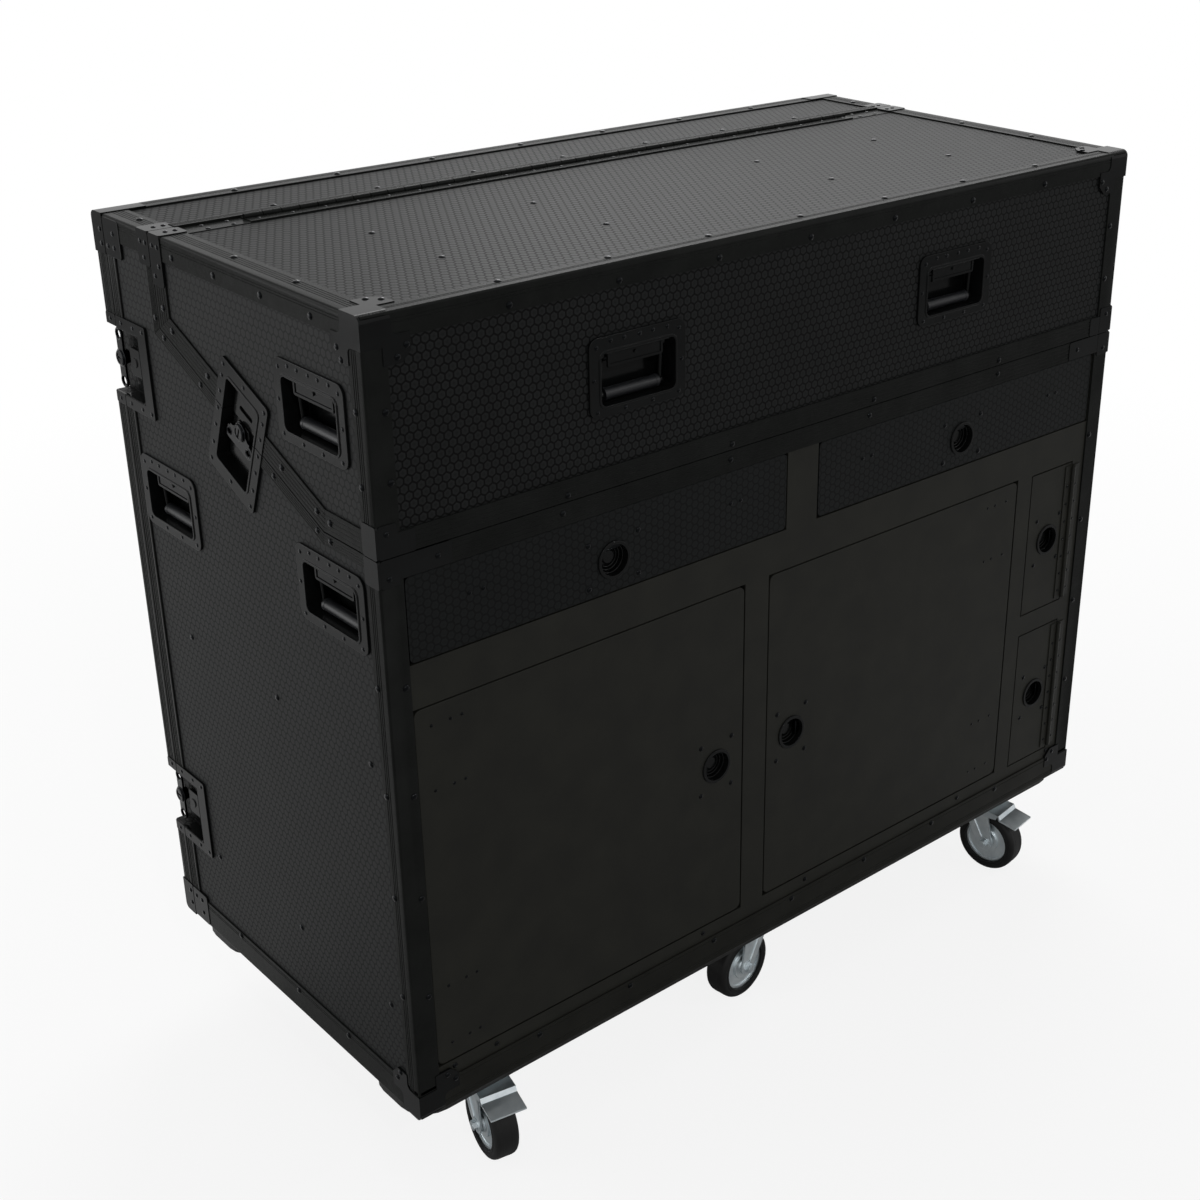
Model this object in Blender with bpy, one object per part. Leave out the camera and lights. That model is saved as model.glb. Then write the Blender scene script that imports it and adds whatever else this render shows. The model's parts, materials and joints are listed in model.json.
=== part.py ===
"""Studio workstation rack case on six casters: hinged lid, drawers, doors, latches and sprung handles.

Metres, +Z up. The case is modelled with X centred, Y measured back from the front face and Z up
from the floor, and is then moved so that its origin is the middle of its footprint on the floor.
"""

import math

import bmesh
import bpy
from mathutils import Matrix, Vector

# Overall sizes of the case body
BODY_WIDTH = 1.220
BODY_DEPTH = 0.580
BODY_HEIGHT = 0.979

# Sheet thicknesses
PANEL = 0.009
FRONT = 0.012
FLOOR = 0.012
BOARD = 0.018
STEEL = 0.002

# Clearances
GAP = 0.0003
SEAM = 0.001
REVEAL = 0.002
RUNNING = 0.0004
PIVOT_PLAY = 0.0003

# Line where the lid meets the base, seen from the side
SEAM_ABOVE_DECK = 0.0255
SEAM_FOOT = 0.1015
SEAM_KNEE_INSET = 0.143
SEAM_KNEE_DROP = 0.109

# Edge extrusions and corner caps, which stand a little proud of the panels
TRIM_PROUD = 0.0014
TRIM_WIDTH = 0.026
TRIM_FOOT = 0.038
TRIM_FRONT = 0.027
TRIM_POST = 0.023
SEAM_TRIM_LID = 0.0255
SEAM_TRIM_BASE = 0.0165
SEAM_TRIM_FRONT = 0.0275
REAR_POST = 0.020
CAP_PROUD = 0.003
CAP_REACH = 0.054
CAP_DROP = 0.052
CAP_EDGE = 0.040
CAP_CORNER = 0.010

# Removable rear cover
COVER_DEPTH = 0.0245
COVER_GAP = 0.001

# Inside boards
SHELF_HEIGHT = 0.568
DIVIDER = 0.012

# Top hinge
HINGE_BEFORE_SEAM = 0.0085
HINGE_END = 0.112
HINGE_BARREL = 0.0034
HINGE_LEAF = 0.0015
HINGE_LEAF_WIDTH = 0.0195
TOP_LIP = 0.0145
TOP_LIP_RISE = 0.0037

# Drawers: edges of the fronts from the middle and from the sides of the case, and their height
DRAWER_INNER = 0.0285
DRAWER_MARGIN = 0.0295
DRAWER_LIFT = 0.016
DRAWER_HEIGHT = 0.100
DRAWER_HEADROOM = 0.003
DRAWER_BACK_ROOM = 0.1225
DRAWER_WALL = 0.012
DRAWER_BOTTOM = 0.006
DRAWER_BOX_LIFT = 0.006
DRAWER_BOX_DROP = 0.008
RUNNER_SPACE = 0.0125
RUNNER_LIFT = 0.020
RUNNER_HEIGHT = 0.042

# Doors and the posts between them
DOOR_LOW = 0.0615
DOOR_DROP = 0.030
DOOR_MARGIN = 0.0285
DOOR_POST = 0.044
DOOR_POST_SHIFT = 0.00025
BAY_POST = 0.035
SMALL_DOOR_WIDTH = 0.0895
SMALL_DOOR_MARGIN = 0.0535
SMALL_DOOR_LOW = 0.0585
SMALL_DOOR_DROP = 0.002
SMALL_POST_LOW = 0.280
SMALL_POST = 0.036
SMALL_HINGE_BARREL = 0.003
SMALL_HINGE_LEAF = 0.0015
SMALL_HINGE_LEAF_WIDTH = 0.014
SMALL_HINGE_INSET = 0.004

# Round flush latches
LATCH_CUP = 0.0205
LATCH_CUP_WALL = 0.0025
LATCH_CUP_DEPTH = 0.015
LATCH_FLAP_THICK = 0.0025
LATCH_FLAP_RECESS = 0.004
LATCH_FLAP_HALF = 0.011
LATCH_FLAP_PLAY = 0.0007
LATCH_CHORD = 0.0115
LATCH_AXIS = 0.0155
DRAWER_LATCH_SHIFT = 0.0019
DRAWER_LATCH_DROP = 0.011
DOOR_LATCH_INSET = 0.0445
DOOR_LATCH_DROP = 0.00125
SMALL_LATCH_INSET = 0.045
LOWER_LATCH_RISE = 0.00115

# Sprung recessed handles
PLATE_WIDTH = 0.137
PLATE_HEIGHT = 0.091
PLATE_PROUD = 0.002
PLATE_CORNER = 0.012
DISH_WIDTH = 0.108
DISH_HEIGHT = 0.062
DISH_DROP = 0.003
DISH_DEPTH = 0.028
DISH_WALL = 0.0025
DISH_CORNER = 0.008
GRIP_RADIUS = 0.0075
GRIP_LENGTH = 0.086
GRIP_DROP = 0.046
GRIP_DEPTH = 0.0105
GRIP_ARM = 0.004
GRIP_ARM_WIDTH = 0.010
GRIP_PIVOT_BELOW_TOP = 0.0075
FRONT_HANDLE_X = 0.265
LID_HANDLE_SHIFT = 0.00425
LID_HANDLE_BEFORE_LATCH = 0.1666
FRONT_BASE_HANDLE_Y = 0.098
FRONT_BASE_HANDLE_RISE = 0.080
REAR_BASE_HANDLE_INSET = 0.0875
REAR_BASE_HANDLE_RISE = 0.078

# Butterfly latches across the sloping seam
SLANT_SHIFT = (0.00435, -0.01265)
SLANT_PLATE = (0.101, 0.150)
SLANT_DISH = (0.070, 0.117)
SLANT_DISH_DEPTH = 0.013
SLANT_SEAM_ABOVE = 0.013
SLANT_TURN_SHIFT = (0.0004, 0.0024)
SLANT_WING = 0.021
SLANT_WING_DROP = 0.0135

# Butterfly latches at the rear edges
EDGE_LATCH_DROP = 0.1765
EDGE_LATCH_RISE = 0.1845
EDGE_DISH_HALF = 0.043
EDGE_DISH_LENGTH = 0.0545
EDGE_DISH_DEPTH = 0.016
EDGE_PLATE_LENGTH = 0.0755
EDGE_PLATE_HEIGHT = 0.115
EDGE_TURN_INSET = 0.0115
EDGE_WING = 0.0295
EDGE_WING_SPACE = 0.0035
KEEPER_LENGTH = 0.038
KEEPER_INSET = 0.0045
KEEPER_HALF = 0.016
KEEPER_RISE = 0.005

# Wings shared by the butterfly latches
WING_THICK = 0.003
WING_RADIUS = 0.0085
WING_HOLE = 0.0055
WING_NECK = 0.0065
TURN_BOSS = 0.011
TURN_RECESS = 0.001

# Rack frames
LEFT_RACK_MARGIN = 0.015
RIGHT_RACK_MARGIN = 0.01125
RACK_STRIP = 0.020
RACK_FLANGE = 0.025
RACK_SETBACK = 0.040

# Caster boards and casters
CASTER_HEIGHT = 0.128
CASTER_INSET = 0.130
CASTER_FRONT_Y = 0.073
CASTER_REAR_INSET = 0.086
BOARD_INSET = 0.003
BOARD_CORNER = 0.040
FRONT_BOARD = (0.0106, 0.130)
REAR_BOARD_LENGTH = 0.1209
CASTER_PLATE = 0.005
CASTER_PLATE_LENGTH = 0.104
CASTER_PLATE_WIDTH = 0.084
CASTER_TRAIL = 0.037
WHEEL_RADIUS = 0.050
WHEEL_WIDTH = 0.034
HUB_RADIUS = 0.036
AXLE_RADIUS = 0.006
FORK_PLATE = 0.003
FORK_SIDE_PLAY = 0.0015
HEAD_RADIUS = 0.033
HEAD_THICK = 0.014
BOSS_RADIUS = 0.013
BOLT_RADIUS = 0.007
BOLT_HEAD = 0.006
PEDAL_PIVOT = (0.036, 0.1045)
PEDAL_PIN = 0.003
PEDAL_SHEET = 0.0025
PEDAL_REACH = 0.092
# Rest heading of each caster: the way its wheel trails, in degrees from +X
FRONT_HEADINGS = (-101.0, 187.0, -81.0)
REAR_HEADINGS = (-97.0, -107.0, -84.0)

ROUND = 32
SMALL_ROUND = 16
WHEEL_SIDES = 28
UNDERSIDE = CASTER_HEIGHT + BOARD
TOP = UNDERSIDE + BODY_HEIGHT
HALF = BODY_WIDTH / 2
INSIDE = HALF - PANEL
COVER_FRONT = BODY_DEPTH - COVER_DEPTH
BASE_BACK = COVER_FRONT - COVER_GAP


def middle(span):
    """Halfway between two values."""
    return (span[0] + span[1]) / 2


# Places that follow from the sizes above: heights of the drawers, the deck and the seam
DRAWER_LOW = SHELF_HEIGHT + DIVIDER + DRAWER_LIFT
DRAWER_HIGH = DRAWER_LOW + DRAWER_HEIGHT
DECK_HEIGHT = DRAWER_HIGH + DRAWER_HEADROOM
DRAWER_DEPTH = BASE_BACK - DRAWER_BACK_ROOM - FRONT
RUNNER_LENGTH = DRAWER_DEPTH
DRAWER_BOX_LOW = DRAWER_LOW + DRAWER_BOX_LIFT
DRAWER_BOX_HIGH = DRAWER_HIGH - DRAWER_BOX_DROP
RUNNER_LOW = DRAWER_BOX_LOW + RUNNER_LIFT
RUNNER_HIGH = RUNNER_LOW + RUNNER_HEIGHT
SEAM_FRONT_HEIGHT = DECK_HEIGHT + SEAM_ABOVE_DECK
SEAM_KNEE = BODY_DEPTH - SEAM_KNEE_INSET
SEAM_KNEE_HEIGHT = BODY_HEIGHT - SEAM_KNEE_DROP
HINGE_Y = SEAM_KNEE - HINGE_BEFORE_SEAM
HINGE_LENGTH = BODY_WIDTH - 2 * HINGE_END

# Edges of the drawers and doors across the front, and their heights
DRAWER_OUTER = HALF - DRAWER_MARGIN
SMALL_DOOR = (HALF - SMALL_DOOR_MARGIN - SMALL_DOOR_WIDTH, HALF - SMALL_DOOR_MARGIN)
DOORS = (DOOR_MARGIN - HALF, SMALL_DOOR[0] - BAY_POST)
DOOR_SPLIT = middle(DOORS) - DOOR_POST_SHIFT
LEFT_DOOR = (DOORS[0], DOOR_SPLIT - DOOR_POST / 2)
RIGHT_DOOR = (DOOR_SPLIT + DOOR_POST / 2, DOORS[1])
DOOR_HEIGHTS = (DOOR_LOW, SHELF_HEIGHT - DOOR_DROP)
UPPER_SMALL = (SMALL_POST_LOW + SMALL_POST, DOOR_HEIGHTS[1] - SMALL_DOOR_DROP)
LOWER_SMALL = (SMALL_DOOR_LOW, SMALL_POST_LOW)

# Round latches, handles and butterfly latches
DRAWER_LATCH_X = middle((DRAWER_INNER, DRAWER_OUTER)) - DRAWER_LATCH_SHIFT
DRAWER_LATCH_HEIGHT = middle((DRAWER_LOW, DRAWER_HIGH)) - DRAWER_LATCH_DROP
DOOR_LATCH_HEIGHT = middle(DOOR_HEIGHTS) - DOOR_LATCH_DROP
LEFT_DOOR_LATCH_X = LEFT_DOOR[1] - DOOR_LATCH_INSET
RIGHT_DOOR_LATCH_X = RIGHT_DOOR[0] + DOOR_LATCH_INSET
SMALL_LATCH_X = SMALL_DOOR[0] + SMALL_LATCH_INSET
LID_HANDLE_HEIGHT = middle((SEAM_FRONT_HEIGHT, BODY_HEIGHT)) + LID_HANDLE_SHIFT
BASE_HANDLES = (
    (FRONT_BASE_HANDLE_Y, SHELF_HEIGHT + FRONT_BASE_HANDLE_RISE),
    (BASE_BACK - REAR_BASE_HANDLE_INSET, SHELF_HEIGHT + REAR_BASE_HANDLE_RISE),
)
SLANT_CENTRE = (
    middle((SEAM_FOOT, SEAM_KNEE)) + SLANT_SHIFT[0],
    middle((SEAM_FRONT_HEIGHT, SEAM_KNEE_HEIGHT)) + SLANT_SHIFT[1],
)
LID_SIDE_HANDLE_Y = SLANT_CENTRE[0] - LID_HANDLE_BEFORE_LATCH
SLANT_TURN = (SLANT_CENTRE[0] + SLANT_TURN_SHIFT[0], SLANT_CENTRE[1] + SLANT_TURN_SHIFT[1])
EDGE_LATCH_HEIGHTS = (BODY_HEIGHT - EDGE_LATCH_DROP, EDGE_LATCH_RISE)
EDGE_DISH_FRONT = BASE_BACK - EDGE_DISH_LENGTH
EDGE_TURN_Y = COVER_FRONT + EDGE_TURN_INSET
KEEPER_BACK = BASE_BACK - KEEPER_INSET
KEEPER_FRONT = KEEPER_BACK - KEEPER_LENGTH

# Dividers between the bays
CENTRE_DIVIDER = middle((LEFT_DOOR[1], RIGHT_DOOR[0]))
SIDE_DIVIDER = middle((RIGHT_DOOR[1], SMALL_DOOR[0]))

# Casters
CASTER_X = HALF - CASTER_INSET
CASTER_REAR_Y = BODY_DEPTH - CASTER_REAR_INSET
REAR_BOARD = (BASE_BACK - REAR_BOARD_LENGTH, BASE_BACK)


def collection(name):
    """A new collection in the scene."""
    made = bpy.data.collections.new(name)
    bpy.context.scene.collection.children.link(made)
    return made


def material(name, colour, roughness, metallic=0.0):
    """A plain Principled material for one kind of piece."""
    made = bpy.data.materials.new(name)
    made.use_nodes = True
    shader = made.node_tree.nodes["Principled BSDF"]
    shader.inputs["Base Color"].default_value = (*colour, 1.0)
    shader.inputs["Roughness"].default_value = roughness
    shader.inputs["Metallic"].default_value = metallic
    made.diffuse_color = (*colour, 1.0)
    return made


def mesh_from(name, build):
    """A mesh made by a function that fills a bmesh."""
    cage = bmesh.new()
    build(cage)
    mesh = bpy.data.meshes.new(name)
    cage.to_mesh(mesh)
    cage.free()
    return mesh


def box_into(cage, low, high):
    """Adds a box between two corners."""
    low, high = Vector(low), Vector(high)
    size = high - low
    shift = Matrix.Translation((low + high) / 2) @ Matrix.Diagonal((*size, 1.0))
    bmesh.ops.create_cube(cage, size=1.0, matrix=shift)


def boxes(name, spans):
    """A mesh of separate boxes, each given by its low and high corner."""

    def build(cage):
        for low, high in spans:
            box_into(cage, low, high)

    return mesh_from(name, build)


TO_AXIS = {
    "X": Matrix(((0, 0, 1, 0), (1, 0, 0, 0), (0, 1, 0, 0), (0, 0, 0, 1))),
    "Y": Matrix(((1, 0, 0, 0), (0, 0, -1, 0), (0, 1, 0, 0), (0, 0, 0, 1))),
    "Z": Matrix.Identity(4),
}


def prism(name, outline, axis, start, end):
    """A flat outline extruded along an axis.

    The outline is in (y, z) for X, (x, z) for Y and (x, y) for Z.
    """
    curve = bpy.data.curves.new(name, "CURVE")
    curve.dimensions = "2D"
    curve.fill_mode = "BOTH"
    curve.extrude = abs(end - start) / 2
    spline = curve.splines.new("POLY")
    spline.points.add(len(outline) - 1)
    for point, (a, b) in zip(spline.points, outline):
        point.co = (a, b, 0.0, 1.0)
    spline.use_cyclic_u = True
    helper = bpy.data.objects.new(name, curve)
    bpy.context.scene.collection.objects.link(helper)
    bpy.context.view_layer.update()
    graph = bpy.context.evaluated_depsgraph_get()
    mesh = bpy.data.meshes.new_from_object(helper.evaluated_get(graph))
    bpy.data.objects.remove(helper)
    bpy.data.curves.remove(curve)
    place = TO_AXIS[axis]
    along = place @ Vector((0, 0, 1))
    sign = along.x + along.y + along.z
    mesh.transform(place @ Matrix.Translation((0, 0, middle((start, end)) * sign)))
    cage = bmesh.new()
    cage.from_mesh(mesh)
    bmesh.ops.remove_doubles(cage, verts=cage.verts, dist=1e-6)
    bmesh.ops.recalc_face_normals(cage, faces=cage.faces)
    cage.to_mesh(mesh)
    cage.free()
    return mesh


def rod(name, centre, axis, radius, length, sides=ROUND):
    """A cylinder along an axis, centred on a point."""
    turn = {
        "X": Matrix.Rotation(math.pi / 2, 4, "Y"),
        "Y": Matrix.Rotation(math.pi / 2, 4, "X"),
        "Z": Matrix.Identity(4),
    }[axis]

    def build(cage):
        bmesh.ops.create_cone(
            cage, cap_ends=True, segments=sides, radius1=radius, radius2=radius,
            depth=length, matrix=Matrix.Translation(centre) @ turn,
        )

    return mesh_from(name, build)


def arc(centre, radius, start, end, steps):
    """Points along a circular arc, angles in degrees."""
    points = []
    for k in range(steps + 1):
        angle = math.radians(start + (end - start) * k / steps)
        points.append((centre[0] + radius * math.cos(angle), centre[1] + radius * math.sin(angle)))
    return points


def rounded(centre, width, height, radius, steps=3):
    """A rectangle with round corners."""
    a, b = width / 2 - radius, height / 2 - radius
    corners = ((a, b, 0), (-a, b, 90), (-a, -b, 180), (a, -b, 270))
    points = []
    for x, y, angle in corners:
        points += arc((centre[0] + x, centre[1] + y), radius, angle, angle + 90, steps)
    return points


def turned(outline, centre, along):
    """An outline in a frame whose first axis is the unit vector along, moved to a centre."""
    a, b = along
    return [(centre[0] + u * a - v * b, centre[1] + u * b + v * a) for u, v in outline]


def helper(name, mesh):
    """A cutter or a piece to be joined, which is no part of the case itself."""
    made = bpy.data.objects.new(name, mesh)
    CUTTERS.objects.link(made)
    made.hide_render = True
    made.display_type = "WIRE"
    return made


def combine(target, operation, name, meshes, parent=None, spot=(0, 0, 0)):
    """Adds Boolean modifiers, one for each mesh in the target's own frame."""
    for k, mesh in enumerate(meshes):
        tool = helper(f"{name}_{k}", mesh)
        tool.parent = parent or ROOT
        tool.location = spot
        modifier = target.modifiers.new(f"{operation.title()} {k}", "BOOLEAN")
        modifier.operation = operation
        modifier.solver = "EXACT"
        modifier.object = tool


def shaded(mesh):
    """Smooth round faces with sharp corners kept."""
    mesh.shade_smooth()
    mesh.set_sharp_from_angle(angle=math.radians(35))
    return mesh


def piece(name, mesh, finish, parent=None, spot=(0, 0, 0), heading=0.0):
    """A named piece of the case, with its origin at a spot in its parent's frame."""
    made = bpy.data.objects.new(name, shaded(mesh))
    PARTS.objects.link(made)
    if not mesh.materials:
        mesh.materials.append(finish)
    made.parent = parent or ROOT
    made.location = spot
    made.rotation_euler.z = math.radians(heading)
    return made


def fused(name, body, add=(), cut=()):
    """One mesh made from a body with meshes joined to it and cut from it."""
    target = bpy.data.objects.new(name, body)
    bpy.context.scene.collection.objects.link(target)
    tools = []
    for operation, meshes in (("UNION", add), ("DIFFERENCE", cut)):
        for mesh in meshes:
            tool = bpy.data.objects.new(name, mesh)
            bpy.context.scene.collection.objects.link(tool)
            tools.append(tool)
            modifier = target.modifiers.new(operation, "BOOLEAN")
            modifier.operation = operation
            modifier.solver = "EXACT"
            modifier.object = tool
    bpy.context.view_layer.update()
    graph = bpy.context.evaluated_depsgraph_get()
    mesh = bpy.data.meshes.new_from_object(target.evaluated_get(graph))
    for used in (target, *tools):
        bpy.data.objects.remove(used)
    mesh.name = name
    return mesh


def seam(offset):
    """The lid line seen from the side, moved towards the lid by an offset, from front to top."""
    nominal = [
        Vector((-0.05, UNDERSIDE + SEAM_FRONT_HEIGHT)),
        Vector((SEAM_FOOT, UNDERSIDE + SEAM_FRONT_HEIGHT)),
        Vector((SEAM_KNEE, UNDERSIDE + SEAM_KNEE_HEIGHT)),
        Vector((SEAM_KNEE, TOP + 0.05)),
    ]
    normals = []
    for here, there in zip(nominal, nominal[1:]):
        run = (there - here).normalized()
        normals.append(Vector((-run.y, run.x)))
    moved = []
    for k, point in enumerate(nominal):
        before, after = normals[max(k - 1, 0)], normals[min(k, len(normals) - 1)]
        moved.append(point + offset * (before + after) / (1 + before.dot(after)))
    return moved


def slant_direction():
    """Unit vector along the sloping part of the seam, in (y, z)."""
    run = Vector((SEAM_KNEE - SEAM_FOOT, SEAM_KNEE_HEIGHT - SEAM_FRONT_HEIGHT)).normalized()
    return run.x, run.y


def slant_outline(width, low, high, radius=0.0):
    """A rectangle over the sloping seam; low and high are measured down the dish from its centre."""
    if radius:
        flat = rounded((0.0, -middle((low, high))), width, high - low, radius)
    else:
        half = width / 2
        flat = [(-half, -high), (half, -high), (half, -low), (-half, -low)]
    centre = (SLANT_CENTRE[0], UNDERSIDE + SLANT_CENTRE[1])
    return turned(flat, centre, slant_direction())


def side_prism(name, side, outline, outer, inner):
    """A prism through a side wall, between two depths measured in from the outer face."""
    return prism(name, outline, "X", side * (HALF - outer), side * (HALF - inner))


def handle_outline(centre, spare=0.0):
    """The dish of a handle, seen square on."""
    place = (centre[0], centre[1] - DISH_DROP)
    return rounded(place, DISH_WIDTH + 2 * spare, DISH_HEIGHT + 2 * spare, DISH_CORNER + spare)


def plate_outline(centre):
    """The riveted plate of a handle, seen square on."""
    return rounded(centre, PLATE_WIDTH, PLATE_HEIGHT, PLATE_CORNER)


def handle_solids(name, centre, extrude):
    """What a handle adds to its panel and what it cuts from it; extrude makes a prism by depths."""
    plate = extrude(f"{name}_plate", plate_outline(centre), -PLATE_PROUD, PANEL / 2)
    dish = extrude(f"{name}_dish", handle_outline(centre, DISH_WALL), PANEL / 2, DISH_DEPTH + DISH_WALL)
    hollow = extrude(f"{name}_hollow", handle_outline(centre), -PANEL, DISH_DEPTH)
    return [plate, dish], [hollow]


def side_solids(side, half_name, low, high, plate_low, plate_high):
    """Half of a butterfly latch dish in a side wall, above or below the sloping seam."""
    wall = DISH_WALL
    width, plate_width = SLANT_DISH[0], SLANT_PLATE[0]
    plate = side_prism(
        f"{half_name}_plate", side, slant_outline(plate_width, plate_low, plate_high),
        -PLATE_PROUD, PANEL / 2,
    )
    back_low = low if low > -SLANT_DISH[1] / 2 else low - wall
    back_high = high if high < SLANT_DISH[1] / 2 else high + wall
    back = side_prism(
        f"{half_name}_back", side, slant_outline(width + 2 * wall, back_low, back_high),
        PANEL / 2, SLANT_DISH_DEPTH + wall,
    )
    return [plate, back]


def side_extruder(side):
    """Makes prisms through one side wall."""

    def extrude(name, outline, outer, inner):
        return side_prism(name, side, outline, outer, inner)

    return extrude


def front_extruder(name, outline, outer, inner):
    """Makes prisms through the front of the lid."""
    return prism(name, outline, "Y", outer, inner)


def band(side, outline, proud=TRIM_PROUD):
    """A flat strip standing proud of one side wall."""
    return side_prism("band", side, outline, -proud, PANEL / 2)


def span(left, right, low, high):
    """A rectangle from its edges."""
    return [(left, low), (right, low), (right, high), (left, high)]


def seam_band(near, far, top):
    """The strip along one side of the seam, between two offsets from it."""
    inner, outer = seam(near), seam(far)
    inner[0].x = outer[0].x = 0.0
    inner[3].y = outer[3].y = top
    return [tuple(point) for point in (*inner, *reversed(outer))]


def cap(corner, reach, drop, inward, up):
    """A corner plate: a square with one cut corner, from an outer corner inwards and up or down."""
    a, b = corner
    return [
        (a, b), (a + inward * reach, b), (a + inward * reach, b + up * (drop - CAP_CORNER)),
        (a + inward * (reach - CAP_CORNER), b + up * drop), (a, b + up * drop),
    ]


def side_trim(side):
    """Edge strips and corner plates on a side wall of the base."""
    foot, roof = UNDERSIDE, TOP
    strips = [
        seam_band(-SEAM / 2, -SEAM_TRIM_BASE, roof),
        span(0.0, TRIM_POST, foot, foot + SEAM_FRONT_HEIGHT - SEAM_TRIM_BASE / 2),
        span(0.0, BASE_BACK, foot, foot + TRIM_FOOT),
        span(BASE_BACK - REAR_POST, BASE_BACK, foot, roof),
        span(SEAM_KNEE + SEAM_TRIM_BASE / 2, BASE_BACK, roof - TRIM_WIDTH, roof),
    ]
    plates = [
        cap((0.0, foot), CAP_REACH, CAP_DROP, 1, 1),
        cap((BASE_BACK, foot), CAP_EDGE, CAP_DROP, -1, 1),
        cap((BASE_BACK, roof), CAP_EDGE, CAP_DROP, -1, -1),
    ]
    return [band(side, strip) for strip in strips] + [band(side, plate, CAP_PROUD) for plate in plates]


def lid_trim():
    """Edge strips and corner plates on the front, the top and the cheeks of the lid."""
    foot, roof = seam(SEAM / 2)[0].y, TOP
    solids = []
    for side in (-1, 1):
        solids.append(band(side, seam_band(SEAM / 2, SEAM_TRIM_LID, roof)))
        solids.append(band(side, span(0.0, SEAM_KNEE - SEAM_TRIM_LID / 2, roof - TRIM_WIDTH, roof)))
        solids.append(band(side, span(0.0, TRIM_POST, foot, roof)))
        solids.append(band(side, cap((0.0, roof), CAP_REACH, CAP_DROP, 1, -1), CAP_PROUD))
        near, far = sorted((side * HALF, side * (HALF - TRIM_FRONT)))
        solids.append(prism("lid_post", span(near, far, foot, roof), "Y", -TRIM_PROUD, PANEL / 2))
        solids.append(prism("lid_edge", span(near, far, 0.0, SEAM_KNEE - SEAM / 2), "Z", TOP - PANEL / 2, TOP + TRIM_PROUD))
        for axis, edge in (("Y", roof), ("Z", 0.0)):
            up = -1 if axis == "Y" else 1
            outline = cap((side * HALF, edge), CAP_REACH, CAP_DROP, -side, up)
            low, high = (-CAP_PROUD, PANEL / 2) if axis == "Y" else (TOP - PANEL / 2, TOP + CAP_PROUD)
            solids.append(prism("lid_cap", outline, axis, low, high))
    for low, high in ((foot, foot + SEAM_TRIM_FRONT), (roof - TRIM_WIDTH, roof)):
        solids.append(prism("lid_rail", span(-HALF, HALF, low, high), "Y", -TRIM_PROUD, PANEL / 2))
    solids.append(prism("lid_rim", span(-HALF, HALF, 0.0, TRIM_WIDTH), "Z", TOP - PANEL / 2, TOP + TRIM_PROUD))
    return solids


def frame_trim(inside, top):
    """Edge strips and corner plates on the face frame."""
    solids = [
        prism("frame_rail", span(-inside, inside, UNDERSIDE, UNDERSIDE + TRIM_FOOT), "Y", -TRIM_PROUD, FRONT / 2),
        prism("frame_rail", span(-inside, inside, top - SEAM_TRIM_FRONT, top), "Y", -TRIM_PROUD, FRONT / 2),
    ]
    for side in (-1, 1):
        near, far = sorted((side * inside, side * (HALF - TRIM_FRONT)))
        solids.append(prism("frame_post", span(near, far, UNDERSIDE, top), "Y", -TRIM_PROUD, FRONT / 2))
        outline = cap((side * inside, UNDERSIDE), CAP_REACH - PANEL, CAP_DROP, -side, 1)
        solids.append(prism("frame_cap", outline, "Y", -CAP_PROUD, FRONT / 2))
    return solids


def cover_trim():
    """Edge strips and corner plates round the back of the rear cover."""
    low, high = COVER_DEPTH - PANEL / 2, COVER_DEPTH + TRIM_PROUD
    solids = []
    for a, b in ((UNDERSIDE, UNDERSIDE + TRIM_WIDTH), (TOP - TRIM_WIDTH, TOP)):
        solids.append(prism("cover_rail", span(-HALF, HALF, a, b), "Y", low, high))
    for side in (-1, 1):
        near, far = sorted((side * HALF, side * (HALF - TRIM_FRONT)))
        solids.append(prism("cover_post", span(near, far, UNDERSIDE, TOP), "Y", low, high))
        for edge, up in ((UNDERSIDE, 1), (TOP, -1)):
            outline = cap((side * HALF, edge), CAP_REACH, CAP_DROP, -side, up)
            solids.append(prism("cover_cap", outline, "Y", low, COVER_DEPTH + CAP_PROUD))
    return solids


def lift(point):
    """A (across, up) point whose height is measured from the underside of the body."""
    return point[0], UNDERSIDE + point[1]


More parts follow.
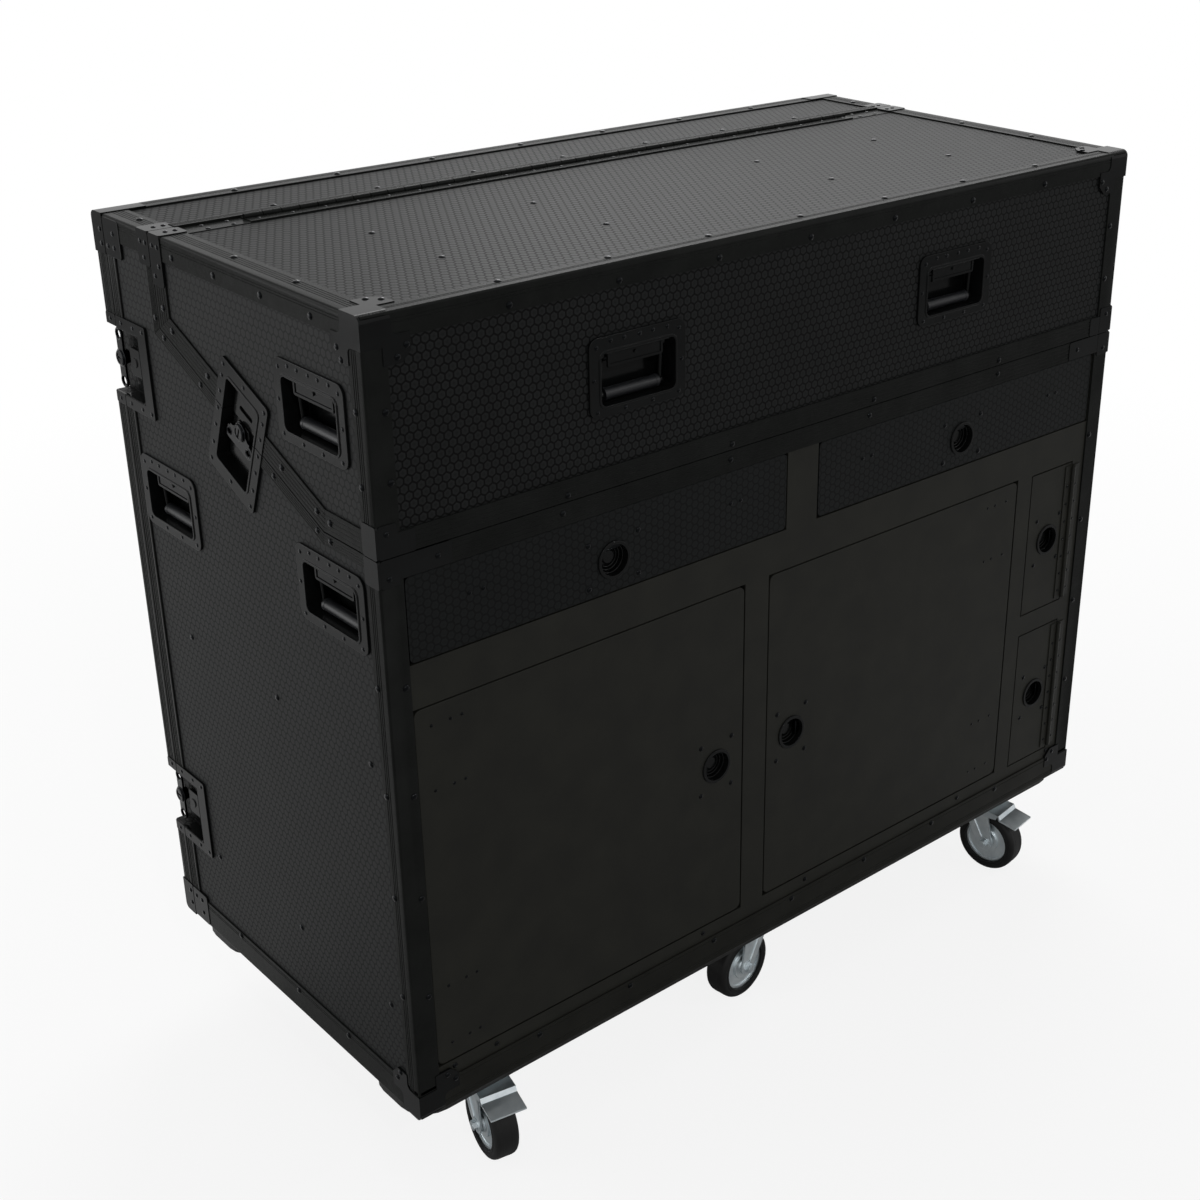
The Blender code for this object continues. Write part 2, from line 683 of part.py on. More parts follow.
def side_panel(side, name):
    """A side wall of the base with its handle dishes and the hollows of its latches."""
    line = seam(-SEAM / 2)
    outline = [
        (0.0, UNDERSIDE), (BASE_BACK, UNDERSIDE), (BASE_BACK, TOP), (line[2].x, TOP),
        tuple(line[2]), tuple(line[1]), (0.0, line[0].y),
    ]
    panel = piece(name, prism(name, outline, "X", side * HALF, side * INSIDE), LAMINATE)
    add, cut = side_trim(side), []
    for k, spot in enumerate(BASE_HANDLES):
        more, less = handle_solids(f"{name}_handle_{k}", lift(spot), side_extruder(side))
        add += more
        cut += less
    reach = SLANT_DISH[1] / 2
    below = -SLANT_SEAM_ABOVE + SEAM / 2
    add += side_solids(side, f"{name}_slant", below, reach, below, SLANT_PLATE[1] / 2)
    cut.append(side_prism(
        f"{name}_slant_hollow", side, slant_outline(SLANT_DISH[0], below - PANEL, reach),
        -PANEL, SLANT_DISH_DEPTH,
    ))
    combine(panel, "UNION", f"{name}_add", add)
    combine(panel, "DIFFERENCE", f"{name}_cut", cut)
    for k, height in enumerate(EDGE_LATCH_HEIGHTS):
        z = UNDERSIDE + height
        half = EDGE_DISH_HALF
        front, back = EDGE_DISH_FRONT, BASE_BACK
        plate_front, plate_height = back - EDGE_PLATE_LENGTH, EDGE_PLATE_HEIGHT
        plate = [
            (plate_front, z - plate_height / 2), (back, z - plate_height / 2),
            (back, z + plate_height / 2), (plate_front, z + plate_height / 2),
        ]
        block = [
            (front - DISH_WALL, z - half - DISH_WALL), (back, z - half - DISH_WALL),
            (back, z + half + DISH_WALL), (front - DISH_WALL, z + half + DISH_WALL),
        ]
        hollow = [
            (front, z - half), (back + PANEL, z - half), (back + PANEL, z + half), (front, z + half),
        ]
        keeper = [
            (KEEPER_FRONT, z - KEEPER_HALF), (KEEPER_BACK, z - KEEPER_HALF),
            (KEEPER_BACK, z + KEEPER_HALF), (KEEPER_FRONT, z + KEEPER_HALF),
        ]
        depth = EDGE_DISH_DEPTH
        combine(panel, "UNION", f"{name}_edge_{k}_body", [
            side_prism(name, side, plate, -PLATE_PROUD, PANEL / 2),
            side_prism(name, side, block, PANEL / 2, depth + DISH_WALL),
        ])
        combine(panel, "DIFFERENCE", f"{name}_edge_{k}_hollow", [
            side_prism(name, side, hollow, -PANEL, depth),
        ])
        combine(panel, "UNION", f"{name}_edge_{k}_keeper", [
            side_prism(name, side, keeper, depth - KEEPER_RISE, depth + DISH_WALL / 2),
        ])
    return panel


def base_boards():
    """The floor, the worktop deck, the drawer shelf, the dividers and the rear top."""
    inside = INSIDE - GAP
    front, back = FRONT + GAP, BASE_BACK
    deck = UNDERSIDE + DECK_HEIGHT
    shelf = UNDERSIDE + SHELF_HEIGHT
    floor = UNDERSIDE + FLOOR
    spans = {
        "bottom_panel": ((-inside, front, UNDERSIDE), (inside, back, floor)),
        "worktop_deck": ((-inside, front, deck), (inside, back, deck + DIVIDER)),
        "drawer_shelf": ((-inside, front, shelf), (inside, back, shelf + DIVIDER)),
    }
    for name, span in spans.items():
        piece(name, boxes(name, [span]), PLYWOOD)
    for name, x in (("centre_divider", CENTRE_DIVIDER), ("bay_divider", SIDE_DIVIDER)):
        low = (x - DIVIDER / 2, front, floor + GAP)
        high = (x + DIVIDER / 2, back, shelf - GAP)
        piece(name, boxes(name, [(low, high)]), PLYWOOD)
    start = seam(-SEAM / 2)[2].x
    rear = piece(
        "rear_top_panel", boxes("rear_top_panel", [((-inside, start, TOP - PANEL), (inside, back, TOP))]), LAMINATE
    )
    lip = boxes("top_lip", [((-inside, start, TOP - PANEL / 2), (inside, start + TOP_LIP, TOP + TOP_LIP_RISE))])
    combine(rear, "UNION", "rear_top_lip", [lip])


def opening(left, right, low, high):
    """A cut through the face frame round a door or drawer front."""
    return boxes("opening", [(
        (left - REVEAL, -FRONT, UNDERSIDE + low - REVEAL),
        (right + REVEAL, 2 * FRONT, UNDERSIDE + high + REVEAL),
    )])


def face_frame():
    """The front frame of the base, with an opening for each drawer and door."""
    inside = INSIDE - GAP
    top = seam(-SEAM / 2)[0].y
    frame = piece("face_frame", boxes("face_frame", [((-inside, 0, UNDERSIDE), (inside, FRONT, top))]), LAMINATE)
    cuts = [
        opening(-DRAWER_OUTER, -DRAWER_INNER, DRAWER_LOW, DRAWER_HIGH),
        opening(DRAWER_INNER, DRAWER_OUTER, DRAWER_LOW, DRAWER_HIGH),
        opening(*LEFT_DOOR, *DOOR_HEIGHTS),
        opening(*RIGHT_DOOR, *DOOR_HEIGHTS),
        opening(*SMALL_DOOR, *UPPER_SMALL),
        opening(*SMALL_DOOR, *LOWER_SMALL),
    ]
    combine(frame, "UNION", "face_frame_trim", frame_trim(inside, top))
    combine(frame, "DIFFERENCE", "face_frame_cut", cuts)
    start = SMALL_DOOR[1] + SMALL_HINGE_BARREL + REVEAL
    leaves = []
    for low, high in (UPPER_SMALL, LOWER_SMALL):
        leaves.append(boxes("frame_leaf", [(
            (start, -SMALL_HINGE_LEAF, UNDERSIDE + low + SMALL_HINGE_INSET),
            (start + SMALL_HINGE_LEAF_WIDTH, FRONT / 2, UNDERSIDE + high - SMALL_HINGE_INSET),
        )]))
    combine(frame, "UNION", "face_frame_leaf", leaves)


def lid():
    """The front lid: top, front and two cheeks as one shell, with its handle and latch dishes."""
    line = seam(SEAM / 2)
    outline = [
        (0.0, line[0].y), tuple(line[1]), tuple(line[2]), (line[2].x, TOP), (0.0, TOP),
    ]
    shell = piece(
        "lid_shell", prism("lid_shell", outline, "X", -HALF, HALF), LAMINATE,
        spot=(0, HINGE_Y, TOP + TOP_LIP_RISE),
    )
    shell.data.transform(Matrix.Translation(-shell.location))
    inner = boxes("lid_inside", [(
        (-INSIDE, PANEL, UNDERSIDE + SEAM_FRONT_HEIGHT - BOARD), (INSIDE, BODY_DEPTH, TOP - PANEL),
    )])
    combine(shell, "DIFFERENCE", "lid_inside", [inner])
    add, cut = [], []
    for side in (-1, 1):
        more, less = handle_solids(
            f"lid_front_{side}", lift((side * FRONT_HANDLE_X, LID_HANDLE_HEIGHT)), front_extruder
        )
        add += more
        cut += less
        more, less = handle_solids(
            f"lid_cheek_{side}", lift((LID_SIDE_HANDLE_Y, LID_HANDLE_HEIGHT)), side_extruder(side)
        )
        add += more
        cut += less
        reach = SLANT_DISH[1] / 2
        above = -SLANT_SEAM_ABOVE - SEAM / 2
        add += side_solids(side, f"lid_slant_{side}", -reach, above, -SLANT_PLATE[1] / 2, above)
        cut.append(side_prism(
            f"lid_slant_hollow_{side}", side, slant_outline(SLANT_DISH[0], -reach, above + PANEL),
            -PANEL, SLANT_DISH_DEPTH,
        ))
    combine(shell, "UNION", "lid_trim", lid_trim())
    combine(shell, "UNION", "lid_add", add)
    combine(shell, "DIFFERENCE", "lid_cut", cut)
    return shell


def top_hinge(shell):
    """The long hinge on top: a leaf and barrel on the lid, and a bar on the rear top."""
    rise = TOP_LIP_RISE
    half = HINGE_LENGTH / 2
    leaf = boxes("lid_leaf", [(
        (-half, -HINGE_LEAF_WIDTH, GAP - rise), (half, 0.0, GAP - rise + HINGE_LEAF),
    )])
    barrel = rod("lid_barrel", (0, 0, 0), "X", HINGE_BARREL, HINGE_LENGTH, SMALL_ROUND)
    piece("lid_hinge_leaf", fused("lid_hinge_leaf", leaf, add=[barrel]), BLACK_METAL, shell)
    start = HINGE_Y + HINGE_BARREL + GAP
    piece("rear_hinge_leaf", boxes("rear_hinge_leaf", [(
        (-half, start, TOP + GAP), (half, seam(-SEAM / 2)[2].x - GAP, TOP + rise),
    )]), BLACK_METAL)


def rear_cover():
    """The lift-off back: a shallow tray with a hollow at each edge latch."""
    low, high = UNDERSIDE, TOP
    cover = piece("rear_cover", boxes("rear_cover", [(
        (-HALF, 0.0, low), (HALF, COVER_DEPTH, high),
    )]), LAMINATE, spot=(0, COVER_FRONT, 0))
    inner = boxes("cover_inside", [(
        (-INSIDE, -COVER_DEPTH, low + PANEL), (INSIDE, COVER_DEPTH - PANEL, high - PANEL),
    )])
    combine(cover, "DIFFERENCE", "cover_inside", [inner], spot=(0, COVER_FRONT, 0))
    combine(cover, "UNION", "cover_trim", cover_trim(), spot=(0, COVER_FRONT, 0))
    blocks, hollows = [], []
    floor = HALF - EDGE_DISH_DEPTH
    for side in (-1, 1):
        for height in EDGE_LATCH_HEIGHTS:
            z = UNDERSIDE + height
            half = EDGE_DISH_HALF
            inner_x, outer_x = sorted((side * (floor - DISH_WALL), side * (HALF - PANEL / 2)))
            blocks.append(boxes("cover_block", [(
                (inner_x, GAP, z - half - DISH_WALL), (outer_x, COVER_DEPTH - PANEL / 2, z + half + DISH_WALL),
            )]))
            inner_x, outer_x = sorted((side * floor, side * (HALF + PANEL)))
            hollows.append(boxes("cover_hollow", [(
                (inner_x, -COVER_DEPTH, z - half), (outer_x, 2 * COVER_DEPTH, z + half),
            )]))
    combine(cover, "UNION", "cover_block", blocks, spot=(0, COVER_FRONT, 0))
    combine(cover, "DIFFERENCE", "cover_hollow", hollows, spot=(0, COVER_FRONT, 0))
    return cover


def wing_outline(spread, drop):
    """Two finger rings joined across a central boss; the rings sit a drop below the boss's centre."""
    right, left = (spread, -drop), (-spread, -drop)
    if drop:
        return [
            *arc(right, WING_RADIUS, -90, 70, 9), *arc((0, 0), TURN_BOSS, 50, 130, 5),
            *arc(left, WING_RADIUS, 110, 270, 9),
        ]
    ring = math.degrees(math.asin(WING_NECK / WING_RADIUS))
    boss = math.degrees(math.asin(WING_NECK / TURN_BOSS))
    return [
        *arc(right, WING_RADIUS, ring - 180, 180 - ring, 12), *arc((0, 0), TURN_BOSS, boss, 180 - boss, 5),
        *arc(left, WING_RADIUS, ring, 360 - ring, 12), *arc((0, 0), TURN_BOSS, 180 + boss, 360 - boss, 5),
    ]


def butterfly(name, spread, drop, depth):
    """A twist piece: two finger rings on a wing plate, with a boss that reaches back into the dish.

    It is made in (y, z) about its own axis, with its outer face at X = 0 and its boss along +X.
    """
    plate = prism(name, wing_outline(spread, drop), "X", 0.0, WING_THICK)
    centre, length = middle((depth, TURN_RECESS)), depth - TURN_RECESS
    boss = rod(name, (centre, 0, 0), "X", TURN_BOSS - STEEL, length, SMALL_ROUND)
    holes = []
    for side in (-1, 1):
        holes.append(rod(name, (WING_THICK / 2, side * spread, -drop), "X", WING_HOLE, 3 * WING_THICK, SMALL_ROUND))
    return fused(name, plate, add=[boss], cut=holes)


def butterfly_latches(cover):
    """The twist pieces of the sloping latches on the base and of the edge latches on the rear cover."""
    depth = SLANT_DISH_DEPTH - TURN_RECESS - GAP
    mesh = butterfly("slant_latch", SLANT_WING, SLANT_WING_DROP, depth)
    along = slant_direction()
    angle = math.atan2(along[1], along[0])
    mesh.transform(Matrix.Rotation(angle, 4, "X"))
    spot = (SLANT_TURN[0], UNDERSIDE + SLANT_TURN[1])
    add_pair("slant_latch", mesh, spot, ROOT, TURN_RECESS)
    depth = EDGE_DISH_DEPTH - EDGE_WING_SPACE - GAP
    mesh = butterfly("edge_latch", EDGE_WING, 0.0, depth)
    mesh.transform(Matrix.Rotation(math.pi / 2, 4, "X"))
    for word, height in zip(("upper", "lower"), EDGE_LATCH_HEIGHTS):
        spot = (EDGE_TURN_Y - COVER_FRONT, UNDERSIDE + height)
        add_pair(f"edge_latch_{word}", mesh.copy(), spot, cover, EDGE_WING_SPACE)


def add_pair(name, mesh, spot, parent, recess):
    """The same side piece on the left and, mirrored, on the right."""
    for side, word in ((-1, "left"), (1, "right")):
        data = mesh.copy()
        if side > 0:
            data.transform(Matrix.Diagonal((-1, 1, 1, 1)))
            data.flip_normals()
        piece(f"{name}_{word}", data, BLACK_METAL, parent, (side * (HALF - recess), *spot))


def grip_mesh():
    """A bail with a rubber grip. It hangs from a pivot along X and lies just behind the plane Y = 0."""
    rear = GRIP_DEPTH - GRIP_RADIUS * 1.0
    half = GRIP_LENGTH / 2
    grip = rod("grip", (0, rear, -GRIP_DROP), "X", GRIP_RADIUS, GRIP_LENGTH, SMALL_ROUND)
    pin = rod("grip", (0, 0, 0), "X", GRIP_ARM * 0.75, GRIP_LENGTH + GRIP_ARM, SMALL_ROUND)
    arms = []
    for side in (-1, 1):
        low, high = sorted((side * (half - GRIP_ARM), side * half))
        arms.append(boxes("grip_arm", [(
            (low, -GRIP_ARM_WIDTH / 2 + rear / 2, -GRIP_DROP), (high, GRIP_ARM_WIDTH / 2 + rear / 2, GRIP_ARM / 2),
        )]))
    return fused("grip", grip, add=[*arms, pin])


def grips(shell):
    """The sprung grips of all the recessed handles, each hinged at the top of its dish."""
    mesh = grip_mesh()
    up = DISH_HEIGHT / 2 - DISH_DROP - GRIP_PIVOT_BELOW_TOP
    depth = GRIP_DEPTH
    base = shell.location
    for side, word in ((-1, "left"), (1, "right")):
        spot = Vector((side * FRONT_HANDLE_X, depth, UNDERSIDE + LID_HANDLE_HEIGHT + up))
        piece(f"grip_lid_front_{word}", mesh, RUBBER, shell, spot - base)
        spot = Vector((side * (HALF - depth), LID_SIDE_HANDLE_Y, UNDERSIDE + LID_HANDLE_HEIGHT + up))
        piece(f"grip_lid_{word}", mesh, RUBBER, shell, spot - base, heading=90 * side)
        for (y, height), end in zip(BASE_HANDLES, ("front", "rear")):
            spot = (side * (HALF - depth), y, UNDERSIDE + height + up)
            piece(f"grip_base_{end}_{word}", mesh, RUBBER, heading=90 * side, spot=spot)


def cup_solids(x, height):
    """The cup of a round latch: what it adds behind the front and what it cuts, about a door's frame."""
    wall = rod("cup_wall", (x, (LATCH_CUP_DEPTH + LATCH_CUP_WALL + FRONT / 2) / 2, height), "Y",
               LATCH_CUP + LATCH_CUP_WALL, LATCH_CUP_DEPTH + LATCH_CUP_WALL - FRONT / 2)
    hollow = rod("cup_hollow", (x, LATCH_CUP_DEPTH / 2 - FRONT / 2, height), "Y",
                 LATCH_CUP, LATCH_CUP_DEPTH + FRONT)
    return wall, hollow


def flap_mesh():
    """A piece of a disc, hinged near the cup's rim, that covers the upper part of a round latch."""
    radius = LATCH_CUP - LATCH_FLAP_PLAY
    half_angle = math.degrees(math.asin(LATCH_FLAP_HALF / radius))
    edge = LATCH_CHORD - LATCH_AXIS
    outline = [
        (-LATCH_FLAP_HALF, edge), (LATCH_FLAP_HALF, edge),
        *arc((0, -LATCH_AXIS), radius, 90 - half_angle, 90 + half_angle, SMALL_ROUND),
    ]
    return prism("latch_flap", outline, "Y", -LATCH_FLAP_THICK / 2, LATCH_FLAP_THICK / 2)


def latch_flap(name, holder, x, height, side_turn, mesh):
    """A latch flap in its holder; side_turn is the way the flap lies from the cup's centre, in degrees from up."""
    angle = math.radians(side_turn)
    offset = Vector((-math.sin(angle) * LATCH_AXIS, 0, math.cos(angle) * LATCH_AXIS))
    data = mesh.copy()
    data.transform(Matrix.Rotation(-angle, 4, "Y"))
    spot = Vector((x, LATCH_FLAP_RECESS + LATCH_FLAP_THICK / 2, UNDERSIDE + height)) + offset
    return piece(name, data, BLACK_METAL, holder, spot - holder.location)


def drawer(side, word, flap):
    """A drawer: front board and open box as one piece, with its round latch."""
    inner, outer = sorted((side * DRAWER_INNER, side * DRAWER_OUTER))
    low, high = UNDERSIDE + DRAWER_LOW, UNDERSIDE + DRAWER_HIGH
    name = f"drawer_{word}"
    spot = Vector(((inner + outer) / 2, 0, (low + high) / 2))
    front = boxes(name, [(Vector((inner, 0, low)) - spot, Vector((outer, FRONT, high)) - spot)])
    body = piece(name, front, LAMINATE, spot=spot)
    left, right = inner + RUNNER_SPACE, outer - RUNNER_SPACE
    box_low, box_high = UNDERSIDE + DRAWER_BOX_LOW, UNDERSIDE + DRAWER_BOX_HIGH
    tub = boxes("drawer_tub", [((left, FRONT / 2, box_low), (right, FRONT + DRAWER_DEPTH, box_high))])
    hollow = boxes("drawer_hollow", [(
        (left + DRAWER_WALL, FRONT + DRAWER_WALL / 2, box_low + DRAWER_BOTTOM),
        (right - DRAWER_WALL, FRONT + DRAWER_DEPTH - DRAWER_WALL, box_high + DRAWER_WALL),
    )])
    x = side * DRAWER_LATCH_X
    wall, cup = cup_solids(x, UNDERSIDE + DRAWER_LATCH_HEIGHT)
    combine(body, "UNION", f"{name}_tub", [tub])
    combine(body, "DIFFERENCE", f"{name}_hollow", [hollow])
    combine(body, "UNION", f"{name}_cup", [wall])
    combine(body, "DIFFERENCE", f"{name}_cup_hollow", [cup])
    latch_flap(f"latch_{name}", body, x, DRAWER_LATCH_HEIGHT, 0, flap)


def runners():
    """The packers and slides that carry the drawers: one at each end and one between them."""
    low, high = UNDERSIDE + RUNNER_LOW, UNDERSIDE + RUNNER_HIGH
    front, back = FRONT + GAP, FRONT + RUNNER_LENGTH
    inner = DRAWER_INNER + RUNNER_SPACE - GAP
    outer = DRAWER_OUTER - RUNNER_SPACE + GAP
    under = UNDERSIDE + DECK_HEIGHT - GAP
    dish = HALF - DISH_DEPTH - DISH_WALL - GAP
    reach = DISH_WIDTH / 2 + DISH_WALL + RUNNING
    pack_front, pack_back = BASE_HANDLES[0][0] + reach, BASE_HANDLES[1][0] - reach
    for side, word in ((-1, "left"), (1, "right")):
        near, far = sorted((side * outer, side * dish))
        near_pack, far_pack = sorted((side * (dish - STEEL), side * (INSIDE - GAP)))
        slide = boxes("slide", [((near, front, low), (far, back, high))])
        packer = boxes("packer", [(
            (near_pack, pack_front, low + STEEL), (far_pack, pack_back, high - STEEL),
        )])
        piece(f"drawer_runner_{word}", fused("runner", slide, add=[packer]), STEEL_GREY)
    piece(
        "drawer_runner_centre", boxes("runner", [((-inner, front, low), (inner, back, under))]), STEEL_GREY
    )


def door(name, span, heights, hinge_right, latch_x, latch_height, flap_turn, flap):
    """A flush door hung on hidden hinges at its outer edge, with its round latch."""
    left, right = span
    low, high = UNDERSIDE + heights[0], UNDERSIDE + heights[1]
    spot = Vector((right if hinge_right else left, 0, (low + high) / 2))
    body = piece(name, boxes(name, [(Vector((left, 0, low)) - spot, Vector((right, FRONT, high)) - spot)]), DOOR_PAINT,
                 spot=spot)
    wall, cup = cup_solids(latch_x, UNDERSIDE + latch_height)
    combine(body, "UNION", f"{name}_cup", [wall])
    combine(body, "DIFFERENCE", f"{name}_cup_hollow", [cup])
    latch_flap(f"latch_{name}", body, latch_x, latch_height, flap_turn, flap)


def small_door(name, heights, latch_height, flap):
    """A small door on a surface hinge, whose leaf and barrel are fixed to it."""
    left, right = SMALL_DOOR
    low, high = UNDERSIDE + heights[0], UNDERSIDE + heights[1]
    axis_x = right + SMALL_HINGE_BARREL / 2
    barrel_y = -SMALL_HINGE_BARREL
    spot = Vector((axis_x, barrel_y, (low + high) / 2))
    span = [(Vector((left, 0, low)) - spot, Vector((right, FRONT, high)) - spot)]
    body = piece(name, boxes(name, span), DOOR_PAINT, spot=spot)
    leaf = boxes("door_leaf", [(
        (right - SMALL_HINGE_LEAF_WIDTH, -SMALL_HINGE_LEAF, low + SMALL_HINGE_INSET),
        (axis_x, FRONT / 4, high - SMALL_HINGE_INSET),
    )])
    trim = boxes("door_leaf_trim", [(
        (right, SMALL_HINGE_LEAF / 3, low), (axis_x + SMALL_HINGE_BARREL, FRONT, high),
    )])
    barrel = rod("door_barrel", (axis_x, barrel_y, (low + high) / 2), "Z", SMALL_HINGE_BARREL,
                 high - low - 2 * SMALL_HINGE_INSET, SMALL_ROUND)
    wall, cup = cup_solids(SMALL_LATCH_X, UNDERSIDE + latch_height)
    combine(body, "UNION", f"{name}_leaf", [leaf, barrel])
    combine(body, "DIFFERENCE", f"{name}_trim", [trim])
    combine(body, "UNION", f"{name}_cup", [wall])
    combine(body, "DIFFERENCE", f"{name}_cup_hollow", [cup])
    latch_flap(f"latch_{name}", body, SMALL_LATCH_X, latch_height, -90, flap)


def rack_frame(name, bay, margin):
    """A welded rack frame across one bay: two mounting strips with side flanges and two cross bars."""
    centre = middle(bay)
    half = (bay[1] - bay[0]) / 2 - margin - RACK_STRIP
    low = UNDERSIDE + FLOOR + GAP
    high = UNDERSIDE + SHELF_HEIGHT - GAP
    front, back = FRONT + RACK_SETBACK, FRONT + RACK_SETBACK + RACK_FLANGE
    outer = half + RACK_STRIP
    face = prism(name, rounded((centre, (low + high) / 2), 2 * outer, high - low, STEEL, 1), "Y", front, front + STEEL)
    window = boxes("rack_window", [(
        (centre - half, front - STEEL, low + RACK_STRIP), (centre + half, front + 2 * STEEL, high - RACK_STRIP),
    )])
    flanges = []
    for side in (-1, 1):
        inner_x, outer_x = sorted((centre + side * (outer - STEEL), centre + side * outer))
        flanges.append(boxes("rack_flange", [((inner_x, front + STEEL / 2, low), (outer_x, back, high))]))
    piece(name, fused(name, face, add=flanges, cut=[window]), STEEL_GREY)


def caster_board(name, span, y):
    """A board under the body with the mounting plates of its casters."""
    front, back = span
    width = BODY_WIDTH - 2 * BOARD_INSET
    outline = rounded((0.0, middle(span)), width, back - front, BOARD_CORNER, 5)
    board = prism(name, outline, "Z", CASTER_HEIGHT, UNDERSIDE - GAP)
    plates = []
    for k in (-1, 0, 1):
        outline = rounded((k * CASTER_X, y), CASTER_PLATE_LENGTH, CASTER_PLATE_WIDTH, STEEL * 3, 2)
        plates.append(prism("caster_plate", outline, "Z", CASTER_HEIGHT - CASTER_PLATE, CASTER_HEIGHT + STEEL))
    piece(name, fused(name, board, add=plates), PLYWOOD)


def wheel_mesh():
    """A wheel turned about X: tyre, dished hub and an axle bore."""
    half = WHEEL_WIDTH / 2
    crown = WHEEL_WIDTH * 0.3
    bore = AXLE_RADIUS + RUNNING
    side_profile = [
        (bore, half), (BOSS_RADIUS, half), (BOSS_RADIUS + 0.002, half * 0.62),
        (HUB_RADIUS - 0.002, half * 0.62), (HUB_RADIUS, half * 0.92), (WHEEL_RADIUS - 0.006, half * 0.92),
        (WHEEL_RADIUS - 0.0012, crown), (WHEEL_RADIUS, 0.0),
    ]
    profile = side_profile + [(r, -x) for r, x in reversed(side_profile[:-1])]
    profile.append(profile[0])

    def build(cage):
        ring = [cage.verts.new((x, r, 0.0)) for r, x in profile[:-1]]
        for here, there in zip(ring, ring[1:] + ring[:1]):
            cage.edges.new((here, there))
        bmesh.ops.spin(cage, geom=cage.verts[:] + cage.edges[:], cent=(0, 0, 0), axis=(1, 0, 0),
                       angle=math.tau, steps=WHEEL_SIDES, use_merge=True)
        bmesh.ops.remove_doubles(cage, verts=cage.verts, dist=1e-6)
        bmesh.ops.recalc_face_normals(cage, faces=cage.faces)

    return mesh_from("wheel", build)


def fork_mesh(braked):
    """A caster fork about its swivel axis. The wheel trails along +Y and its axle lies along X."""
    under = CASTER_HEIGHT - CASTER_PLATE - GAP
    axle = (CASTER_TRAIL, WHEEL_RADIUS)
    inner = WHEEL_WIDTH / 2 + FORK_SIDE_PLAY
    outer = inner + FORK_PLATE
    head_low = under - HEAD_THICK
    head = rod("fork_head", (0, 0, (under + head_low) / 2), "Z", HEAD_RADIUS, HEAD_THICK)
    down = arc(axle, BOSS_RADIUS, 0, -180, 8)
    pedal_y, pedal_z = PEDAL_PIVOT
    cheek = [
        (-HEAD_RADIUS * 0.55, under - FORK_PLATE), *reversed(down), (pedal_y + 0.005, pedal_z - 0.002),
        (pedal_y + 0.003, pedal_z + 0.0025), (pedal_y - 0.006, pedal_z + 0.0045),
        (HEAD_RADIUS * 0.75, under - FORK_PLATE),
    ]
    sides = [prism("fork_side", cheek, "X", side * inner, side * outer) for side in (-1, 1)]
    pin = rod("fork_axle", (0, *axle), "X", AXLE_RADIUS, 2 * outer + 0.002, SMALL_ROUND)
    bolts = []
    for side in (-1, 1):
        start = outer - FORK_PLATE / 2
        bolts.append(rod("fork_bolt", (side * (start + BOLT_HEAD / 2 + FORK_PLATE / 4), *axle), "X",
                         BOLT_RADIUS, BOLT_HEAD + FORK_PLATE / 2, 6))
    add = [*sides, pin, *bolts]
    if braked:
        reach = outer + PEDAL_SHEET + GAP
        add.append(rod("pedal_pin", (0, *PEDAL_PIVOT), "X", PEDAL_PIN, 2 * reach, SMALL_ROUND))
    return fused("fork", head, add=add)


def pedal_mesh():
    """A brake pedal about its pin: two ears outside the fork and a stepped tread over the wheel."""
    outer = WHEEL_WIDTH / 2 + FORK_SIDE_PLAY + FORK_PLATE
    ear_in, ear_out = outer + GAP, outer + GAP + PEDAL_SHEET
    reach = PEDAL_REACH - PEDAL_PIVOT[0]
    step = reach * 0.45
    tread = [
        (0.0, 0.0065), (step, 0.0045), (step + 0.003, -0.002), (reach, -0.007),
        (reach, -0.007 - PEDAL_SHEET), (step + 0.001, -0.002 - PEDAL_SHEET), (step - 0.002, 0.0045 - PEDAL_SHEET),
        (0.0, 0.0065 - PEDAL_SHEET),
    ]
    plate = prism("pedal_tread", tread, "X", -ear_out, ear_out)
    radius = PEDAL_PIN + 0.0028
    ear = [*arc((0, 0), radius, 90, 270, 8), (step * 0.8, -0.004), (step * 0.9, 0.0032)]
    ears = [prism("pedal_ear", ear, "X", side * ear_in, side * ear_out) for side in (-1, 1)]
    hole = rod("pedal_hole", (0, 0, 0), "X", PEDAL_PIN + PIVOT_PLAY, 3 * ear_out, SMALL_ROUND)
    return fused("pedal", plate, add=ears, cut=[hole])


def casters():
    """Six swivel casters; the outer two at the front have brake pedals."""
    plain, braked = fork_mesh(False), fork_mesh(True)
    wheel, pedal = wheel_mesh(), pedal_mesh()
    rows = (("front", CASTER_FRONT_Y, FRONT_HEADINGS), ("rear", CASTER_REAR_Y, REAR_HEADINGS))
    for row, y, headings in rows:
        for k, (word, heading) in enumerate(zip(("left", "middle", "right"), headings)):
            has_brake = row == "front" and word != "middle"
            name = f"{row}_{word}"
            spot = ((k - 1) * CASTER_X, y, 0)
            fork = piece(f"caster_fork_{name}", braked if has_brake else plain, ZINC, spot=spot, heading=heading - 90)
            piece(f"caster_wheel_{name}", wheel, TYRE, fork, (0, CASTER_TRAIL, WHEEL_RADIUS))
            if has_brake:
                piece(f"brake_pedal_{name}", pedal, ZINC, fork, (0, *PEDAL_PIVOT))


def centre_footprint():
    """Moves the whole case so that the middle of its footprint is at the origin."""
    bpy.context.view_layer.update()
    graph = bpy.context.evaluated_depsgraph_get()
    corners = []
    for made in PARTS.objects:
        if made.type == "MESH":
            shape = made.evaluated_get(graph)
            corners += [shape.matrix_world @ vertex.co for vertex in shape.data.vertices]
    for axis in (0, 1):
        values = [corner[axis] for corner in corners]
        ROOT.location[axis] -= (min(values) + max(values)) / 2
    ROOT.location.z -= min(corner.z for corner in corners)
    bpy.context.view_layer.update()


for leftover in list(bpy.data.objects):
    bpy.data.objects.remove(leftover)

